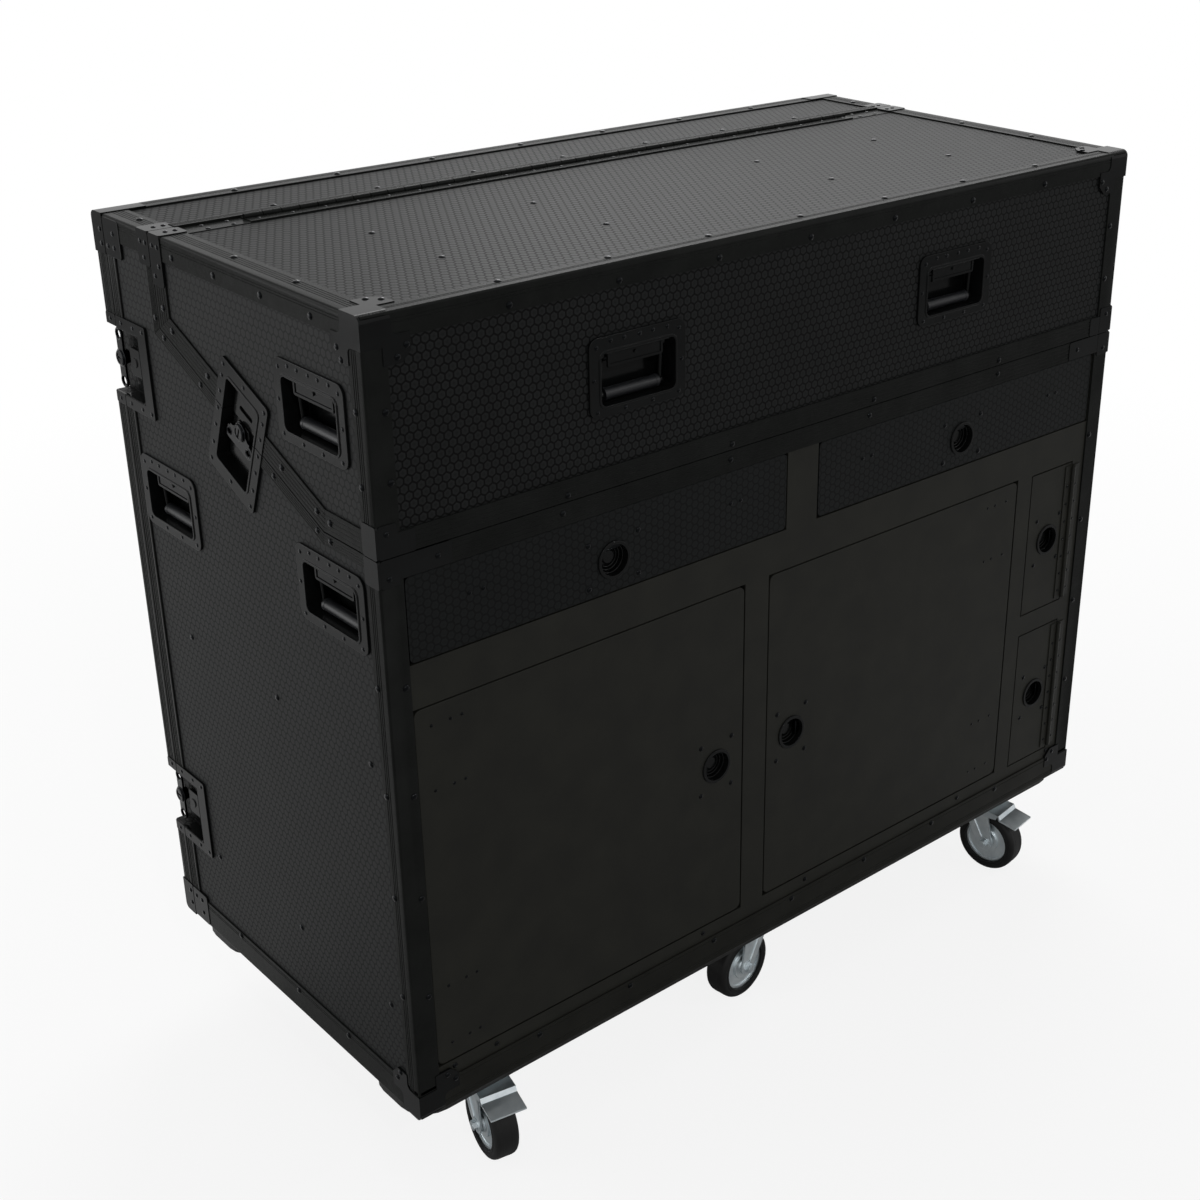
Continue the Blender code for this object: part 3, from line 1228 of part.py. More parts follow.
PARTS = collection("studio_workstation_rack_case")
CUTTERS = collection("cutters")
ROOT = bpy.data.objects.new("case_origin", None)
PARTS.objects.link(ROOT)

LAMINATE = material("hex_laminate", (0.012, 0.012, 0.013), 0.42)
DOOR_PAINT = material("smooth_laminate", (0.014, 0.014, 0.012), 0.38)
PLYWOOD = material("painted_plywood", (0.010, 0.010, 0.010), 0.6)
BLACK_METAL = material("black_steel", (0.012, 0.012, 0.012), 0.3, 0.6)
STEEL_GREY = material("zinc_sheet", (0.35, 0.36, 0.38), 0.35, 1.0)
ZINC = material("zinc_plate", (0.62, 0.66, 0.72), 0.25, 1.0)
RUBBER = material("grip_rubber", (0.05, 0.05, 0.05), 0.55)
TYRE = material("tyre_rubber", (0.015, 0.015, 0.015), 0.6)


def main():
    side_panel(-1, "side_panel_left")
    side_panel(1, "side_panel_right")
    base_boards()
    face_frame()
    shell = lid()
    top_hinge(shell)
    cover = rear_cover()
    butterfly_latches(cover)
    grips(shell)
    flap = flap_mesh()
    drawer(-1, "left", flap)
    drawer(1, "right", flap)
    runners()
    door("door_left", LEFT_DOOR, DOOR_HEIGHTS, False, LEFT_DOOR_LATCH_X, DOOR_LATCH_HEIGHT, 90, flap)
    door("door_right", RIGHT_DOOR, DOOR_HEIGHTS, True, RIGHT_DOOR_LATCH_X, DOOR_LATCH_HEIGHT, -90, flap)
    small_door("door_small_upper", UPPER_SMALL, middle(UPPER_SMALL), flap)
    small_door("door_small_lower", LOWER_SMALL, middle(LOWER_SMALL) + LOWER_LATCH_RISE, flap)
    rack_frame("rack_frame_left", (-INSIDE, CENTRE_DIVIDER - DIVIDER / 2), LEFT_RACK_MARGIN)
    rack_frame("rack_frame_right", (CENTRE_DIVIDER + DIVIDER / 2, SIDE_DIVIDER - DIVIDER / 2), RIGHT_RACK_MARGIN)
    caster_board("caster_board_front", FRONT_BOARD, CASTER_FRONT_Y)
    caster_board("caster_board_rear", REAR_BOARD, CASTER_REAR_Y)
    casters()
    centre_footprint()


main()
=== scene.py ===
"""Studio workstation rack case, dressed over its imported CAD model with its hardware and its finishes."""

import json
import logging
import math
from contextlib import contextmanager
from dataclasses import dataclass, field
from enum import Enum
from functools import cache
from typing import Callable, Iterator, Optional, Sequence, Union

import bmesh
import bpy
from mathutils import Matrix, Vector

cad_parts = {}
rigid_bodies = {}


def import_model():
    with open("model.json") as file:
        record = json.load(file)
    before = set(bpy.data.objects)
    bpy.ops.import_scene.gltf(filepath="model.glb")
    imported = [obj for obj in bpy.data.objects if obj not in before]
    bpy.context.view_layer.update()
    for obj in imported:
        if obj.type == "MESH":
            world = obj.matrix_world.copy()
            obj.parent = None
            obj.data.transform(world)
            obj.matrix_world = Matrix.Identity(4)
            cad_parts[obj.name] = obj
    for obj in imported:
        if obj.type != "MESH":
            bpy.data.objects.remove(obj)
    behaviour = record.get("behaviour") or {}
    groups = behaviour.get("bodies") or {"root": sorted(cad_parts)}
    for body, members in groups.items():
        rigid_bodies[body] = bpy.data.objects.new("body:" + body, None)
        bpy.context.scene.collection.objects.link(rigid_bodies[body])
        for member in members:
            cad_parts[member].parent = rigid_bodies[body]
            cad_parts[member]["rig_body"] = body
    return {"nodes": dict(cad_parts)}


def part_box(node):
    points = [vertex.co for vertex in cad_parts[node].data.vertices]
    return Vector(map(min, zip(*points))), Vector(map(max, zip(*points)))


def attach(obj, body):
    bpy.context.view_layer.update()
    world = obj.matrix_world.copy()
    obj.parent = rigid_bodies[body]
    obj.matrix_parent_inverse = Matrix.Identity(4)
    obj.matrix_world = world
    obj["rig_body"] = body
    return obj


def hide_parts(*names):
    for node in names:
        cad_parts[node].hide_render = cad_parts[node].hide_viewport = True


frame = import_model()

Piece = bpy.types.Object
Socket = bpy.types.NodeSocket
Pair = tuple[float, float]
Triple = tuple[float, float, float]

log = logging.getLogger("rack_case")

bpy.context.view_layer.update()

# Body frame of the case: X from its left side, Y back from its front face, Z up from its underside
WIDTH = 1.220
DEPTH = 0.580
HEIGHT = 0.979
FRONT_SET_BACK = 0.0123
FRONT_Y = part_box("bottom_panel")[0].y - FRONT_SET_BACK
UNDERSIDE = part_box("bottom_panel")[0].z

# Places that several fittings share, in millimetres on a side of the case: y from the front, z from the underside
BACK_PARTING = 554.5
EDGE_LATCH_HEIGHTS = (802.5, 184.5)
SLANT_LATCH_CENTRE = (273.6, 784.6)
SLOPE = math.atan2(0.398, 0.917)

# How far a plate or an extrusion sinks into the face that it lies on, so that no gap shows
SUNK = 0.0003

# How a primitive that is made along Z is turned onto each axis
AXIS_TURNS = {"X": (0, math.pi / 2, 0), "Y": (-math.pi / 2, 0, 0), "Z": (0, 0, 0)}


def at(x: float, y: float, z: float) -> Vector:
    """The place of a point given in millimetres from the left side, the front face and the underside."""
    return Vector((x / 1000 - WIDTH / 2, y / 1000 + FRONT_Y, z / 1000 + UNDERSIDE))


class Face(Enum):
    """A face of the case, seen from outside: the turn that brings its right, inward and up onto X, Y and Z."""

    FRONT = ((1, 0, 0), (0, 1, 0), (0, 0, 1))
    LEFT = ((0, -1, 0), (1, 0, 0), (0, 0, 1))
    RIGHT = ((0, 1, 0), (-1, 0, 0), (0, 0, 1))
    BACK = ((-1, 0, 0), (0, -1, 0), (0, 0, 1))
    TOP = ((1, 0, 0), (0, 0, -1), (0, 1, 0))

    def frame(self, centre: Vector, turn: float = 0.0) -> Matrix:
        """The frame of a fitting on this face.

        Args:
            centre: where the fitting's own origin lies.
            turn: how far it is turned in the face, in radians from up towards the right.
        Returns:
            A matrix from right, inward and up to the object's own axes.
        """
        columns = Matrix([Vector(axis) for axis in self.value]).transposed().to_4x4()
        return Matrix.Translation(centre) @ columns @ Matrix.Rotation(turn, 4, "Y")

    def place(self, across: float, up: float, along: float = 0.0) -> Vector:
        """A point on this face from its measures in millimetres.

        Args:
            across: x on the front, the back and the top, and y on the sides.
            up: z, or y on the top.
            along: how far in from the face.
        Returns:
            The point in metres.
        """
        spots = {
            Face.FRONT: (across, along, up),
            Face.BACK: (across, 1000 * DEPTH - along, up),
            Face.LEFT: (along, across, up),
            Face.RIGHT: (1000 * WIDTH - along, across, up),
            Face.TOP: (across, up, 1000 * HEIGHT - along),
        }
        return at(*spots[self])


SIDES = ((Face.LEFT, -1, "left"), (Face.RIGHT, 1, "right"))


# the bench: operators as used by hand

def activate(obj: Piece) -> Piece:
    """Makes one object the only selected and the active one."""
    bpy.ops.object.select_all(action="DESELECT")
    obj.select_set(True)
    bpy.context.view_layer.objects.active = obj
    return obj


@contextmanager
def editing(obj: Piece) -> Iterator[None]:
    """Edit mode on one object.

    Args:
        obj: the mesh object to edit.
    """
    activate(obj)
    bpy.ops.object.mode_set(mode="EDIT")
    yield
    bpy.ops.object.mode_set(mode="OBJECT")


def pick(obj: Piece, kind: str, test: Callable) -> int:
    """Selects the faces, edges or corners that pass a test.

    Args:
        obj: the object in edit mode.
        kind: FACE, EDGE or VERT.
        test: takes one item and says whether it is wanted.
    Returns:
        How many were selected.
    """
    bpy.ops.mesh.select_mode(type=kind)
    bpy.ops.mesh.select_all(action="DESELECT")
    cage = bmesh.from_edit_mesh(obj.data)
    items = {"FACE": cage.faces, "EDGE": cage.edges, "VERT": cage.verts}[kind]
    found = [item for item in items if test(item)]
    for item in found:
        item.select_set(True)
    bmesh.update_edit_mesh(obj.data)
    return len(found)


def runs_along(axis: int) -> Callable:
    """A test for edges that run along an axis."""
    return lambda edge: abs((edge.verts[1].co - edge.verts[0].co).normalized()[axis]) > 0.99


def middle_of(edge: bmesh.types.BMEdge) -> Vector:
    """The middle of an edge."""
    return (edge.verts[0].co + edge.verts[1].co) / 2


def primitive(name: str, add: Callable, **settings: object) -> Piece:
    """One of Blender's primitives, named, with its turn and its size applied."""
    bpy.ops.object.select_all(action="DESELECT")
    add(**settings)
    obj = bpy.context.active_object
    obj.name = name
    bpy.ops.object.transform_apply(location=True, rotation=True, scale=True)
    return obj


def block(name: str, low: Sequence[float], high: Sequence[float]) -> Piece:
    """A block between any two opposite corners, ready to be shaped."""
    low, high = Vector(tuple(map(min, low, high))), Vector(tuple(map(max, low, high)))
    return primitive(name, bpy.ops.mesh.primitive_cube_add, size=1.0, location=(low + high) / 2, scale=high - low)


def drum(name: str, centre: Sequence[float], radius: float, depth: float, axis: str = "Y", sides: int = 32) -> Piece:
    """A drum about an axis, ready to be shaped."""
    return primitive(name, bpy.ops.mesh.primitive_cone_add, vertices=sides, radius1=radius, radius2=radius,
                     depth=depth, location=centre, rotation=AXIS_TURNS[axis])


def ring(name: str, centre: Sequence[float], radius: float, wire: float, axis: str = "Y", sides: int = 32,
         around: int = 8) -> Piece:
    """A round wire ring about an axis."""
    return primitive(name, bpy.ops.mesh.primitive_torus_add, major_radius=radius, minor_radius=wire,
                     major_segments=sides, minor_segments=around, location=centre, rotation=AXIS_TURNS[axis])


def round_edges(obj: Piece, width: float, segments: int, test: Callable) -> Piece:
    """Bevels the edges that pass a test."""
    with editing(obj):
        if pick(obj, "EDGE", test):
            bpy.ops.mesh.bevel(offset=width, segments=segments, affect="EDGES", clamp_overlap=True)
    return obj


def soften(obj: Piece, width: float = 0.0005, segments: int = 2, angle: float = 35) -> Piece:
    """Breaks every sharp edge with a small bevel and smooths the rest."""
    activate(obj)
    modifier = obj.modifiers.new("edge break", "BEVEL")
    modifier.width = width
    modifier.segments = segments
    modifier.limit_method = "ANGLE"
    modifier.angle_limit = math.radians(angle)
    modifier.harden_normals = False
    bpy.ops.object.modifier_apply(modifier=modifier.name)
    bpy.ops.object.shade_smooth_by_angle(angle=math.radians(angle))
    return obj


def carve(obj: Piece, *tools: Piece, operation: str = "DIFFERENCE") -> Piece:
    """Applies one Boolean for each tool and removes the tool."""
    for tool in tools:
        activate(obj)
        modifier = obj.modifiers.new("carve", "BOOLEAN")
        modifier.operation = operation
        modifier.solver = "EXACT"
        modifier.object = tool
        bpy.ops.object.modifier_apply(modifier=modifier.name)
        bpy.data.objects.remove(tool)
    return obj


def cut(point: Sequence[float], normal: Sequence[float], closed: bool = False) -> None:
    """Cuts the whole mesh in edit mode at a plane; closed, the side that the normal points to goes."""
    bpy.ops.mesh.select_all(action="SELECT")
    bpy.ops.mesh.bisect(plane_co=point, plane_no=normal, use_fill=closed, clear_outer=closed,
                        threshold=1e-6 if closed else 1e-7)


def trimmed(obj: Piece, point: Sequence[float], normal: Sequence[float]) -> Piece:
    """Cuts off what lies on the normal's side of a plane and closes the cut."""
    with editing(obj):
        cut(point, normal, closed=True)
    return obj


def push(way: Sequence[float]) -> None:
    """Extrudes the selected faces along a vector."""
    bpy.ops.mesh.extrude_region_move(TRANSFORM_OT_translate={"value": way})


def press(inset: float, way: Sequence[float]) -> None:
    """Insets the selected faces and then extrudes them along a vector."""
    bpy.ops.mesh.inset(thickness=inset, depth=0)
    push(way)


def scored(obj: Piece, across: int, places: Sequence[float], width: float, facing: Sequence[float],
           depth: float) -> Piece:
    """Presses straight grooves into the faces that look one way.

    Args:
        obj: the piece.
        across: the axis along which the grooves are spaced.
        places: the middle of each groove on that axis.
        width: how wide a groove is.
        facing: the outward direction of the grooved faces.
        depth: how deep a groove is; below nothing it is a rib.
    Returns:
        The same piece.
    """
    outward = Vector(facing)
    plane = Vector([1.0 if k == across else 0.0 for k in range(3)])
    with editing(obj):
        for place in places:
            for edge in (place - width / 2, place + width / 2):
                pick(obj, "FACE", lambda face: face.normal.dot(outward) > 0.95)
                bpy.ops.mesh.bisect(plane_co=plane * edge, plane_no=plane, threshold=1e-7)
        wanted = pick(obj, "FACE", lambda face: face.normal.dot(outward) > 0.95 and any(
            abs(face.calc_center_median()[across] - place) < width / 2 - 1e-5 for place in places))
        if wanted:
            push(-outward * depth)
    return obj


def rounded_block(name: str, low: Sequence[float], high: Sequence[float], radius: float, axis: int = 1) -> Piece:
    """A block with its four edges along an axis rounded."""
    return round_edges(block(name, low, high), radius, 5, runs_along(axis))


def domed(obj: Piece, width: float, segments: int = 4) -> Piece:
    """Rounds the rim of a drum's front end."""
    end = min(corner.co.y for corner in obj.data.vertices)
    return round_edges(obj, width, segments, lambda edge: all(abs(v.co.y - end) < 1e-6 for v in edge.verts))


def moved(obj: Piece, place: Matrix) -> Piece:
    """Puts a piece made about the origin in its place and leaves its object at the origin."""
    activate(obj)
    obj.matrix_world = place
    bpy.ops.object.transform_apply(location=True, rotation=True, scale=True)
    if place.to_3x3().determinant() < 0:
        with editing(obj):
            bpy.ops.mesh.select_all(action="SELECT")
            bpy.ops.mesh.normals_make_consistent(inside=False)
    return obj


def sided(piece: Piece, side: int, corner: Vector) -> Piece:
    """Puts a piece made for the left side at a corner of the case, mirrored for the right side (side 1)."""
    return moved(piece, Matrix.Translation(corner) @ Matrix.Diagonal((-side, 1, 1, 1)))


def copied(obj: Piece, name: str, place: Matrix) -> Piece:
    """A copy of a piece, with its own mesh, in its own place."""
    twin = obj.copy()
    twin.data = obj.data.copy()
    twin.name = name
    bpy.context.scene.collection.objects.link(twin)
    return moved(twin, place)


def joined(name: str, parts: Sequence[Piece]) -> Piece:
    """Several meshes as one piece."""
    bpy.ops.object.select_all(action="DESELECT")
    for part in parts:
        part.select_set(True)
    bpy.context.view_layer.objects.active = parts[0]
    if len(parts) > 1:
        bpy.ops.object.join()
    parts[0].name = name
    return parts[0]


def shelved(*objs: Piece) -> None:
    """Takes patterns that have been copied off the bench."""
    for obj in objs:
        bpy.data.objects.remove(obj)


def fitted(obj: Piece, name: str, body: str, finish: "Finish", nodes: Sequence[str] = ()) -> Piece:
    """Finishes a piece: its name, its material, the body that it rides on and the CAD nodes it stands for.

    Args:
        obj: the shaped piece.
        name: its name.
        body: the CAD body that it moves with.
        finish: what it is made of.
        nodes: the CAD nodes that it replaces.
    Returns:
        The same piece.
    """
    activate(obj)
    modifier = obj.modifiers.new("flat faces stay flat", "WEIGHTED_NORMAL")
    modifier.keep_sharp = True
    bpy.ops.object.modifier_apply(modifier=modifier.name)
    obj.name = obj.data.name = name
    obj.data.materials.clear()
    obj.data.materials.append(material(finish))
    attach(obj, body)
    if nodes:
        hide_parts(*nodes)
    log.info("%s on %s: %d faces", name, body, len(obj.data.polygons))
    return obj


# finishes

def linear(code: str) -> tuple[float, float, float, float]:
    """An sRGB hex colour as linear light, with full alpha."""
    channels = [int(code[k:k + 2], 16) / 255 for k in (1, 3, 5)]
    return (*[c / 12.92 if c <= 0.04045 else ((c + 0.055) / 1.055) ** 2.4 for c in channels], 1.0)


def node(tree: bpy.types.NodeTree, kind: str, links: Optional[dict] = None, out: object = 0,
         stops: Sequence[Pair] = (), **settings: object) -> Socket:
    """Adds one node with its settings and links.

    Args:
        tree: the material's node tree.
        kind: the node's type, after ShaderNode.
        links: for each input, by number or name, the socket or the value that it takes.
        out: the output that is wanted, by number or name.
        stops: places and grey levels, where the node has a ramp.
        settings: the node's own settings by name.
    Returns:
        The wanted output.
    """
    # A Mix node takes its vectors at 4 and 5 and its colours at 6 and 7, and gives them at 1 and 2
    made = tree.nodes.new("ShaderNode" + kind)
    for key, value in settings.items():
        setattr(made, key, value)
    for key, value in (links or {}).items():
        if isinstance(value, Socket):
            tree.links.new(value, made.inputs[key])
        else:
            made.inputs[key].default_value = value
    for count, (position, level) in enumerate(stops):
        band = made.color_ramp.elements
        stop = band[count] if count < 2 else band.new(position)
        stop.position, stop.color = position, (level, level, level, 1.0)
    return made.outputs[out]


def eye_or_mirror(tree: bpy.types.NodeTree) -> tuple[Socket, Socket]:
    """1 for what the camera sees itself, and 1 for that and for what it sees in mirrors and through glass."""
    camera, glossy, through = (node(tree, "LightPath", out=f"Is {kind} Ray")
                               for kind in ("Camera", "Glossy", "Transmission"))
    seen = node(tree, "Math", {0: glossy, 1: through}, operation="MAXIMUM")
    return camera, node(tree, "Math", {0: camera, 1: seen}, operation="MAXIMUM")


def fresh(name: str, shader: dict) -> tuple[bpy.types.Material, bpy.types.NodeTree, bpy.types.Node]:
    """A new material.

    Args:
        name: the material's name.
        shader: values for the Principled shader's sockets.
    Returns:
        The material, its tree and its shader.
    """
    made = bpy.data.materials.new(name)
    made.use_nodes = True
    principled = made.node_tree.nodes["Principled BSDF"]
    for key, value in shader.items():
        principled.inputs[key].default_value = value
    return made, made.node_tree, principled


@dataclass(frozen=True)
class HexLaminate:
    """Birch ply faced with phenolic film that is pressed with a honeycomb of shallow cells."""

    name: str
    # cell and heart: a lighter ring painted as sheen on the domed cells round a darker heart; groove: painted shade in
    # the pressed grooves
    cell: str
    heart: str
    groove: str
    pitch: float = 10.33
    turned: bool = False
    relief: float = 0.12
    gloss: float = 0.42
    shine: float = 0.35
    slot: str = "hex_laminate"

    def honeycomb(self, tree: bpy.types.NodeTree, spot: Socket,
                  normal: Socket) -> Socket:
        """How far a point is from the middle of its cell.

        Args:
            tree: the material's node tree.
            spot: the place on the piece.
            normal: the way that its face looks.
        Returns:
            0 in the middle of a cell and 1 on its outline.
        """
        facing = node(tree, "VectorMath", {0: normal}, operation="ABSOLUTE")
        sides = {axis: node(tree, "SeparateXYZ", {0: facing}, axis) for axis in "XZ"}
        x, y, z = (node(tree, "SeparateXYZ", {0: spot}, axis) for axis in "XYZ")
        planes = [pair[::-1] if self.turned else pair for pair in ((x, z), (y, z), (x, y))]
        front, side, top = (node(tree, "CombineXYZ", {0: a, 1: b}) for a, b in planes)
        steep = 0.7
        on_side, on_top = (node(tree, "Math", {0: sides[axis], 1: steep}, operation="GREATER_THAN") for axis in "XZ")
        flat = node(tree, "Mix", {0: on_side, 4: front, 5: side}, 1, data_type="VECTOR")
        flat = node(tree, "Mix", {0: on_top, 4: flat, 5: top}, 1, data_type="VECTOR")
        cells = node(tree, "VectorMath", {0: flat, 1: (1000 / self.pitch,) * 3}, operation="MULTIPLY")
        step = (0.5, math.sqrt(3) / 2, 0.0)
        half = (*step[:2], 1.0)
        least = tuple(-value for value in half)
        between = node(tree, "VectorMath", {0: cells, 1: step}, operation="ADD")
        near, other = (node(tree, "VectorMath", {0: grid, 1: half, 2: least}, operation="WRAP")
                       for grid in (cells, between))
        spans = [node(tree, "VectorMath", {0: grid}, "Value", operation="LENGTH") for grid in (other, near)]
        closer = node(tree, "Math", {0: spans[0], 1: spans[1]}, operation="LESS_THAN")
        own = node(tree, "Mix", {0: closer, 4: near, 5: other}, 1, data_type="VECTOR")
        own = node(tree, "VectorMath", {0: own}, operation="ABSOLUTE")
        slanted = node(tree, "VectorMath", {0: own, 1: step}, "Value", operation="DOT_PRODUCT")
        upright = node(tree, "SeparateXYZ", {0: own}, "X")
        edge = node(tree, "Math", {0: slanted, 1: upright}, operation="MAXIMUM")
        return node(tree, "Math", {0: edge, 1: 2.0}, operation="MULTIPLY")

    def make(self) -> bpy.types.Material:
        """Grey cells with a lighter ring painted as sheen round a darker heart, and painted shade in the thin grooves;
        slightly domed so that a sheen breaks into rows.
        """
        made, tree, shader = fresh(self.name, {"Specular IOR Level": self.shine})
        spot = node(tree, "TexCoord", out="Object")
        edge = self.honeycomb(tree, spot, node(tree, "TexCoord", out="Normal"))
        # Painted light: the lighter ring of each cell is painted sheen, and the groove colour is painted shade in the
        # grooves.
        sheen_ring_mask = node(tree, "ValToRGB", {0: edge}, stops=[(0.0, 0.0), (0.55, 1.0)])
        groove_shade_mask = node(tree, "ValToRGB", {0: edge}, stops=[(0.74, 0.0), (0.86, 1.0)])
        tone = node(tree, "Mix", {0: sheen_ring_mask, 6: linear(self.heart), 7: linear(self.cell)}, 2, data_type="RGBA")
        tone = node(tree, "Mix", {0: groove_shade_mask, 6: tone, 7: linear(self.groove)}, 2, data_type="RGBA")
        cloud = node(tree, "TexNoise", {"Vector": spot, "Scale": 1000 / 60, "Detail": 4.0}, "Fac")
        cloud = node(tree, "ValToRGB", {0: cloud}, stops=[(0.35, 0.84), (0.7, 1.0)])
        tone = node(tree, "Mix", {0: 1.0, 6: tone, 7: cloud}, 2, data_type="RGBA", blend_type="MULTIPLY")
        tree.links.new(tone, shader.inputs["Base Color"])
        grain = node(tree, "TexNoise", {"Vector": spot, "Scale": 1000 / 1.2, "Detail": 3.0}, "Fac")
        rough = node(tree, "Math", {0: grain, 1: 0.12, 2: self.gloss - 0.06}, operation="MULTIPLY_ADD")
        rough = node(tree, "Math", {0: groove_shade_mask, 1: 0.14, 2: rough}, operation="MULTIPLY_ADD")
        tree.links.new(rough, shader.inputs["Roughness"])
        height = node(tree, "ValToRGB", {0: edge}, stops=[(0.0, 1.0), (0.66, 0.86), (0.80, 0.50), (0.92, 0.0)])
        bump = node(tree, "Bump", {"Height": height, "Distance": self.relief / 1000})
        tree.links.new(bump, shader.inputs["Normal"])
        return made


@dataclass(frozen=True)
class Plain:
    """One stuff with soft grain in its colour, sheen and surface; the fields say how much and how fine."""

    name: str
    light: str
    dark: str
    metallic: float = 0.0
    gloss: float = 0.4
    spread: float = 0.12
    grain: float = 1.5
    relief: float = 0.02
    shine: float = 0.5
    stretch: Triple = (1.0, 1.0, 1.0)
    patch: float = 45.0
    slot: str = "black_steel"

    def make(self) -> bpy.types.Material:
        """Colour that drifts between two near tones, with finer grain in roughness and relief."""
        made, tree, shader = fresh(self.name, {"Metallic": self.metallic, "Specular IOR Level": self.shine})
        spot = node(tree, "TexCoord", out="Object")
        drift = node(tree, "TexNoise", {"Vector": spot, "Scale": 1000 / self.patch, "Detail": 4.0}, "Fac")
        drift = node(tree, "ValToRGB", {0: drift}, stops=[(0.32, 0.0), (0.7, 1.0)])
        tone = node(tree, "Mix", {0: drift, 6: linear(self.dark), 7: linear(self.light)}, 2, data_type="RGBA")
        tree.links.new(tone, shader.inputs["Base Color"])
        along = node(tree, "Mapping", {"Vector": spot, "Scale": self.stretch})
        fine = node(tree, "TexNoise", {"Vector": along, "Scale": 1000 / self.grain, "Detail": 3.0}, "Fac")
        wear = node(tree, "TexNoise", {"Vector": spot, "Scale": 2500 / self.patch, "Detail": 5.0}, "Fac")
        both = node(tree, "Math", {0: fine, 1: wear}, operation="ADD")
        rough = node(tree, "Math", {0: both, 1: self.spread / 2, 2: self.gloss - self.spread / 2},
                     operation="MULTIPLY_ADD")
        tree.links.new(rough, shader.inputs["Roughness"])
        bump = node(tree, "Bump", {"Height": fine, "Distance": self.relief / 1000})
        tree.links.new(bump, shader.inputs["Normal"])
        return made


@dataclass(frozen=True)
class StudioFloor:
    """Pale studio floor: it takes the shadow close to the case and runs into the white backdrop."""

    name: str = "pale_floor_paint"
    colour: str = "#f2f2f2"
    shadow_to: float = 0.8
    white_from: float = 3.0
    bleach: float = 0.86

    def make(self) -> bpy.types.Material:
        """Matt pale paint that turns into plain white for the eye and for mirrors away from the case."""
        made, tree, shader = fresh(self.name, {"Base Color": linear(self.colour)})
        spot = node(tree, "TexCoord", out="Object")
        grit = node(tree, "TexNoise", {"Vector": spot, "Scale": 1000 / 3.0}, "Fac")
        tree.links.new(node(tree, "Math", {0: grit, 1: 0.1, 2: 0.8}, operation="MULTIPLY_ADD"),
                       shader.inputs["Roughness"])
        away = node(tree, "VectorMath", {0: spot}, "Value", operation="LENGTH")
        far = node(tree, "MapRange", {0: away, 1: self.shadow_to, 2: self.white_from},
                   interpolation_type="SMOOTHSTEP")
        camera, seen = eye_or_mirror(tree)
        pale = node(tree, "Math", {0: far, 1: 1 - self.bleach, 2: self.bleach}, operation="MULTIPLY_ADD")
        share = node(tree, "Math", {0: pale, 1: camera}, operation="MULTIPLY")
        beyond = node(tree, "MapRange", {0: away, 1: 4.0, 2: 12.0}, interpolation_type="SMOOTHSTEP")
        mirrored = node(tree, "Math", {0: beyond, 1: seen}, operation="MULTIPLY")
        share = node(tree, "Math", {0: share, 1: mirrored}, operation="MAXIMUM")
        white = node(tree, "Emission", {"Color": (1, 1, 1, 1), "Strength": 1.0})
        mix = node(tree, "MixShader", {0: share, 1: shader.outputs[0], 2: white})
        tree.links.new(mix, tree.nodes["Material Output"].inputs["Surface"])
        return made


Finish = Union[HexLaminate, Plain]


@cache
def material(finish: Finish) -> bpy.types.Material:
    """The material of a finish, made the first time that it is asked for."""
    return finish.make()


# Phenolic honeycomb film on the carcass: the cells read as grey scales with a lighter ring painted as sheen, between
# grooves painted near-black as shade
CARCASS = HexLaminate("hex_phenolic_laminate", cell="#202121", heart="#171818", groove="#020202", shine=0.06)
# The same film on the sides, pressed more shallowly: its painted groove shade is lighter and its painted sheen ring
# fainter, for the sheen that fills the grooves on the sides, so the cells are a faint even scale under a soft sheen
SIDE_FILM_LIGHTER_SHADE = HexLaminate("hex_phenolic_side_panel_lighter_painted_shade", cell="#1e1f1f", heart="#1a1b1b", groove="#111212", relief=0.05,
                        shine=0.07)
# The same film turned a quarter on the drawer fronts, darker, a touch bluer and flatter, with the same painted groove
# shade and sheen ring
DRAWER_FRONT = HexLaminate("hex_phenolic_drawer_front", cell="#121414", heart="#0e1010", groove="#040505", turned=True,
                           relief=0.05, shine=0.09)
# Smooth phenolic film on the doors: a warm even black with a soft sheen
DOOR_FRONT = Plain("smooth_phenolic_door", "#262622", "#21211e", gloss=0.45, grain=2.2, relief=0.012, shine=0.08,
                   slot="smooth_laminate")
# Black anodised aluminium, extruded: satin, with fine draw lines
EXTRUSION = Plain("black_anodised_extrusion", "#1d1e1d", "#171817", gloss=0.27, spread=0.12, grain=1.0, relief=0.005,
                  shine=0.035)
# The same aluminium along the foot of the front, painted warmer and lighter as a reflection of the warm doors in it
SILL_PAINTED_DOOR_REFLECTION = Plain("black_anodised_sill_painted_door_reflection", "#242421", "#1e1e1b", gloss=0.3, spread=0.12, grain=1.0, relief=0.005,
                       shine=0.05)
# Black electro-coated pressed steel: smooth and glossier than the extrusions
PRESSED_STEEL = Plain("black_coated_steel", "#121313", "#0d0e0e", gloss=0.15, grain=1.6, relief=0.006, shine=0.09)
# Black nickel rivets and screws: small hard highlights
RIVET = Plain("black_nickel_rivet", "#161718", "#111213", metallic=1.0, gloss=0.13, grain=0.8, relief=0.002)
# Bright zinc plate on the casters: cool silver with faint patches
ZINC = Plain("bright_zinc_plate", "#d9dfe1", "#bcc4c8", metallic=1.0, gloss=0.40, spread=0.12, grain=1.4, relief=0.004,
             patch=26, slot="zinc_plate")
# Zinc-passivated sheet inside the case: duller, slightly blue
ZINC_SHEET = Plain("zinc_steel_sheet", "#8f949a", "#777c83", metallic=1.0, gloss=0.36, spread=0.2, grain=2.4,
                   relief=0.01, stretch=(1.0, 1.0, 0.15), patch=30)
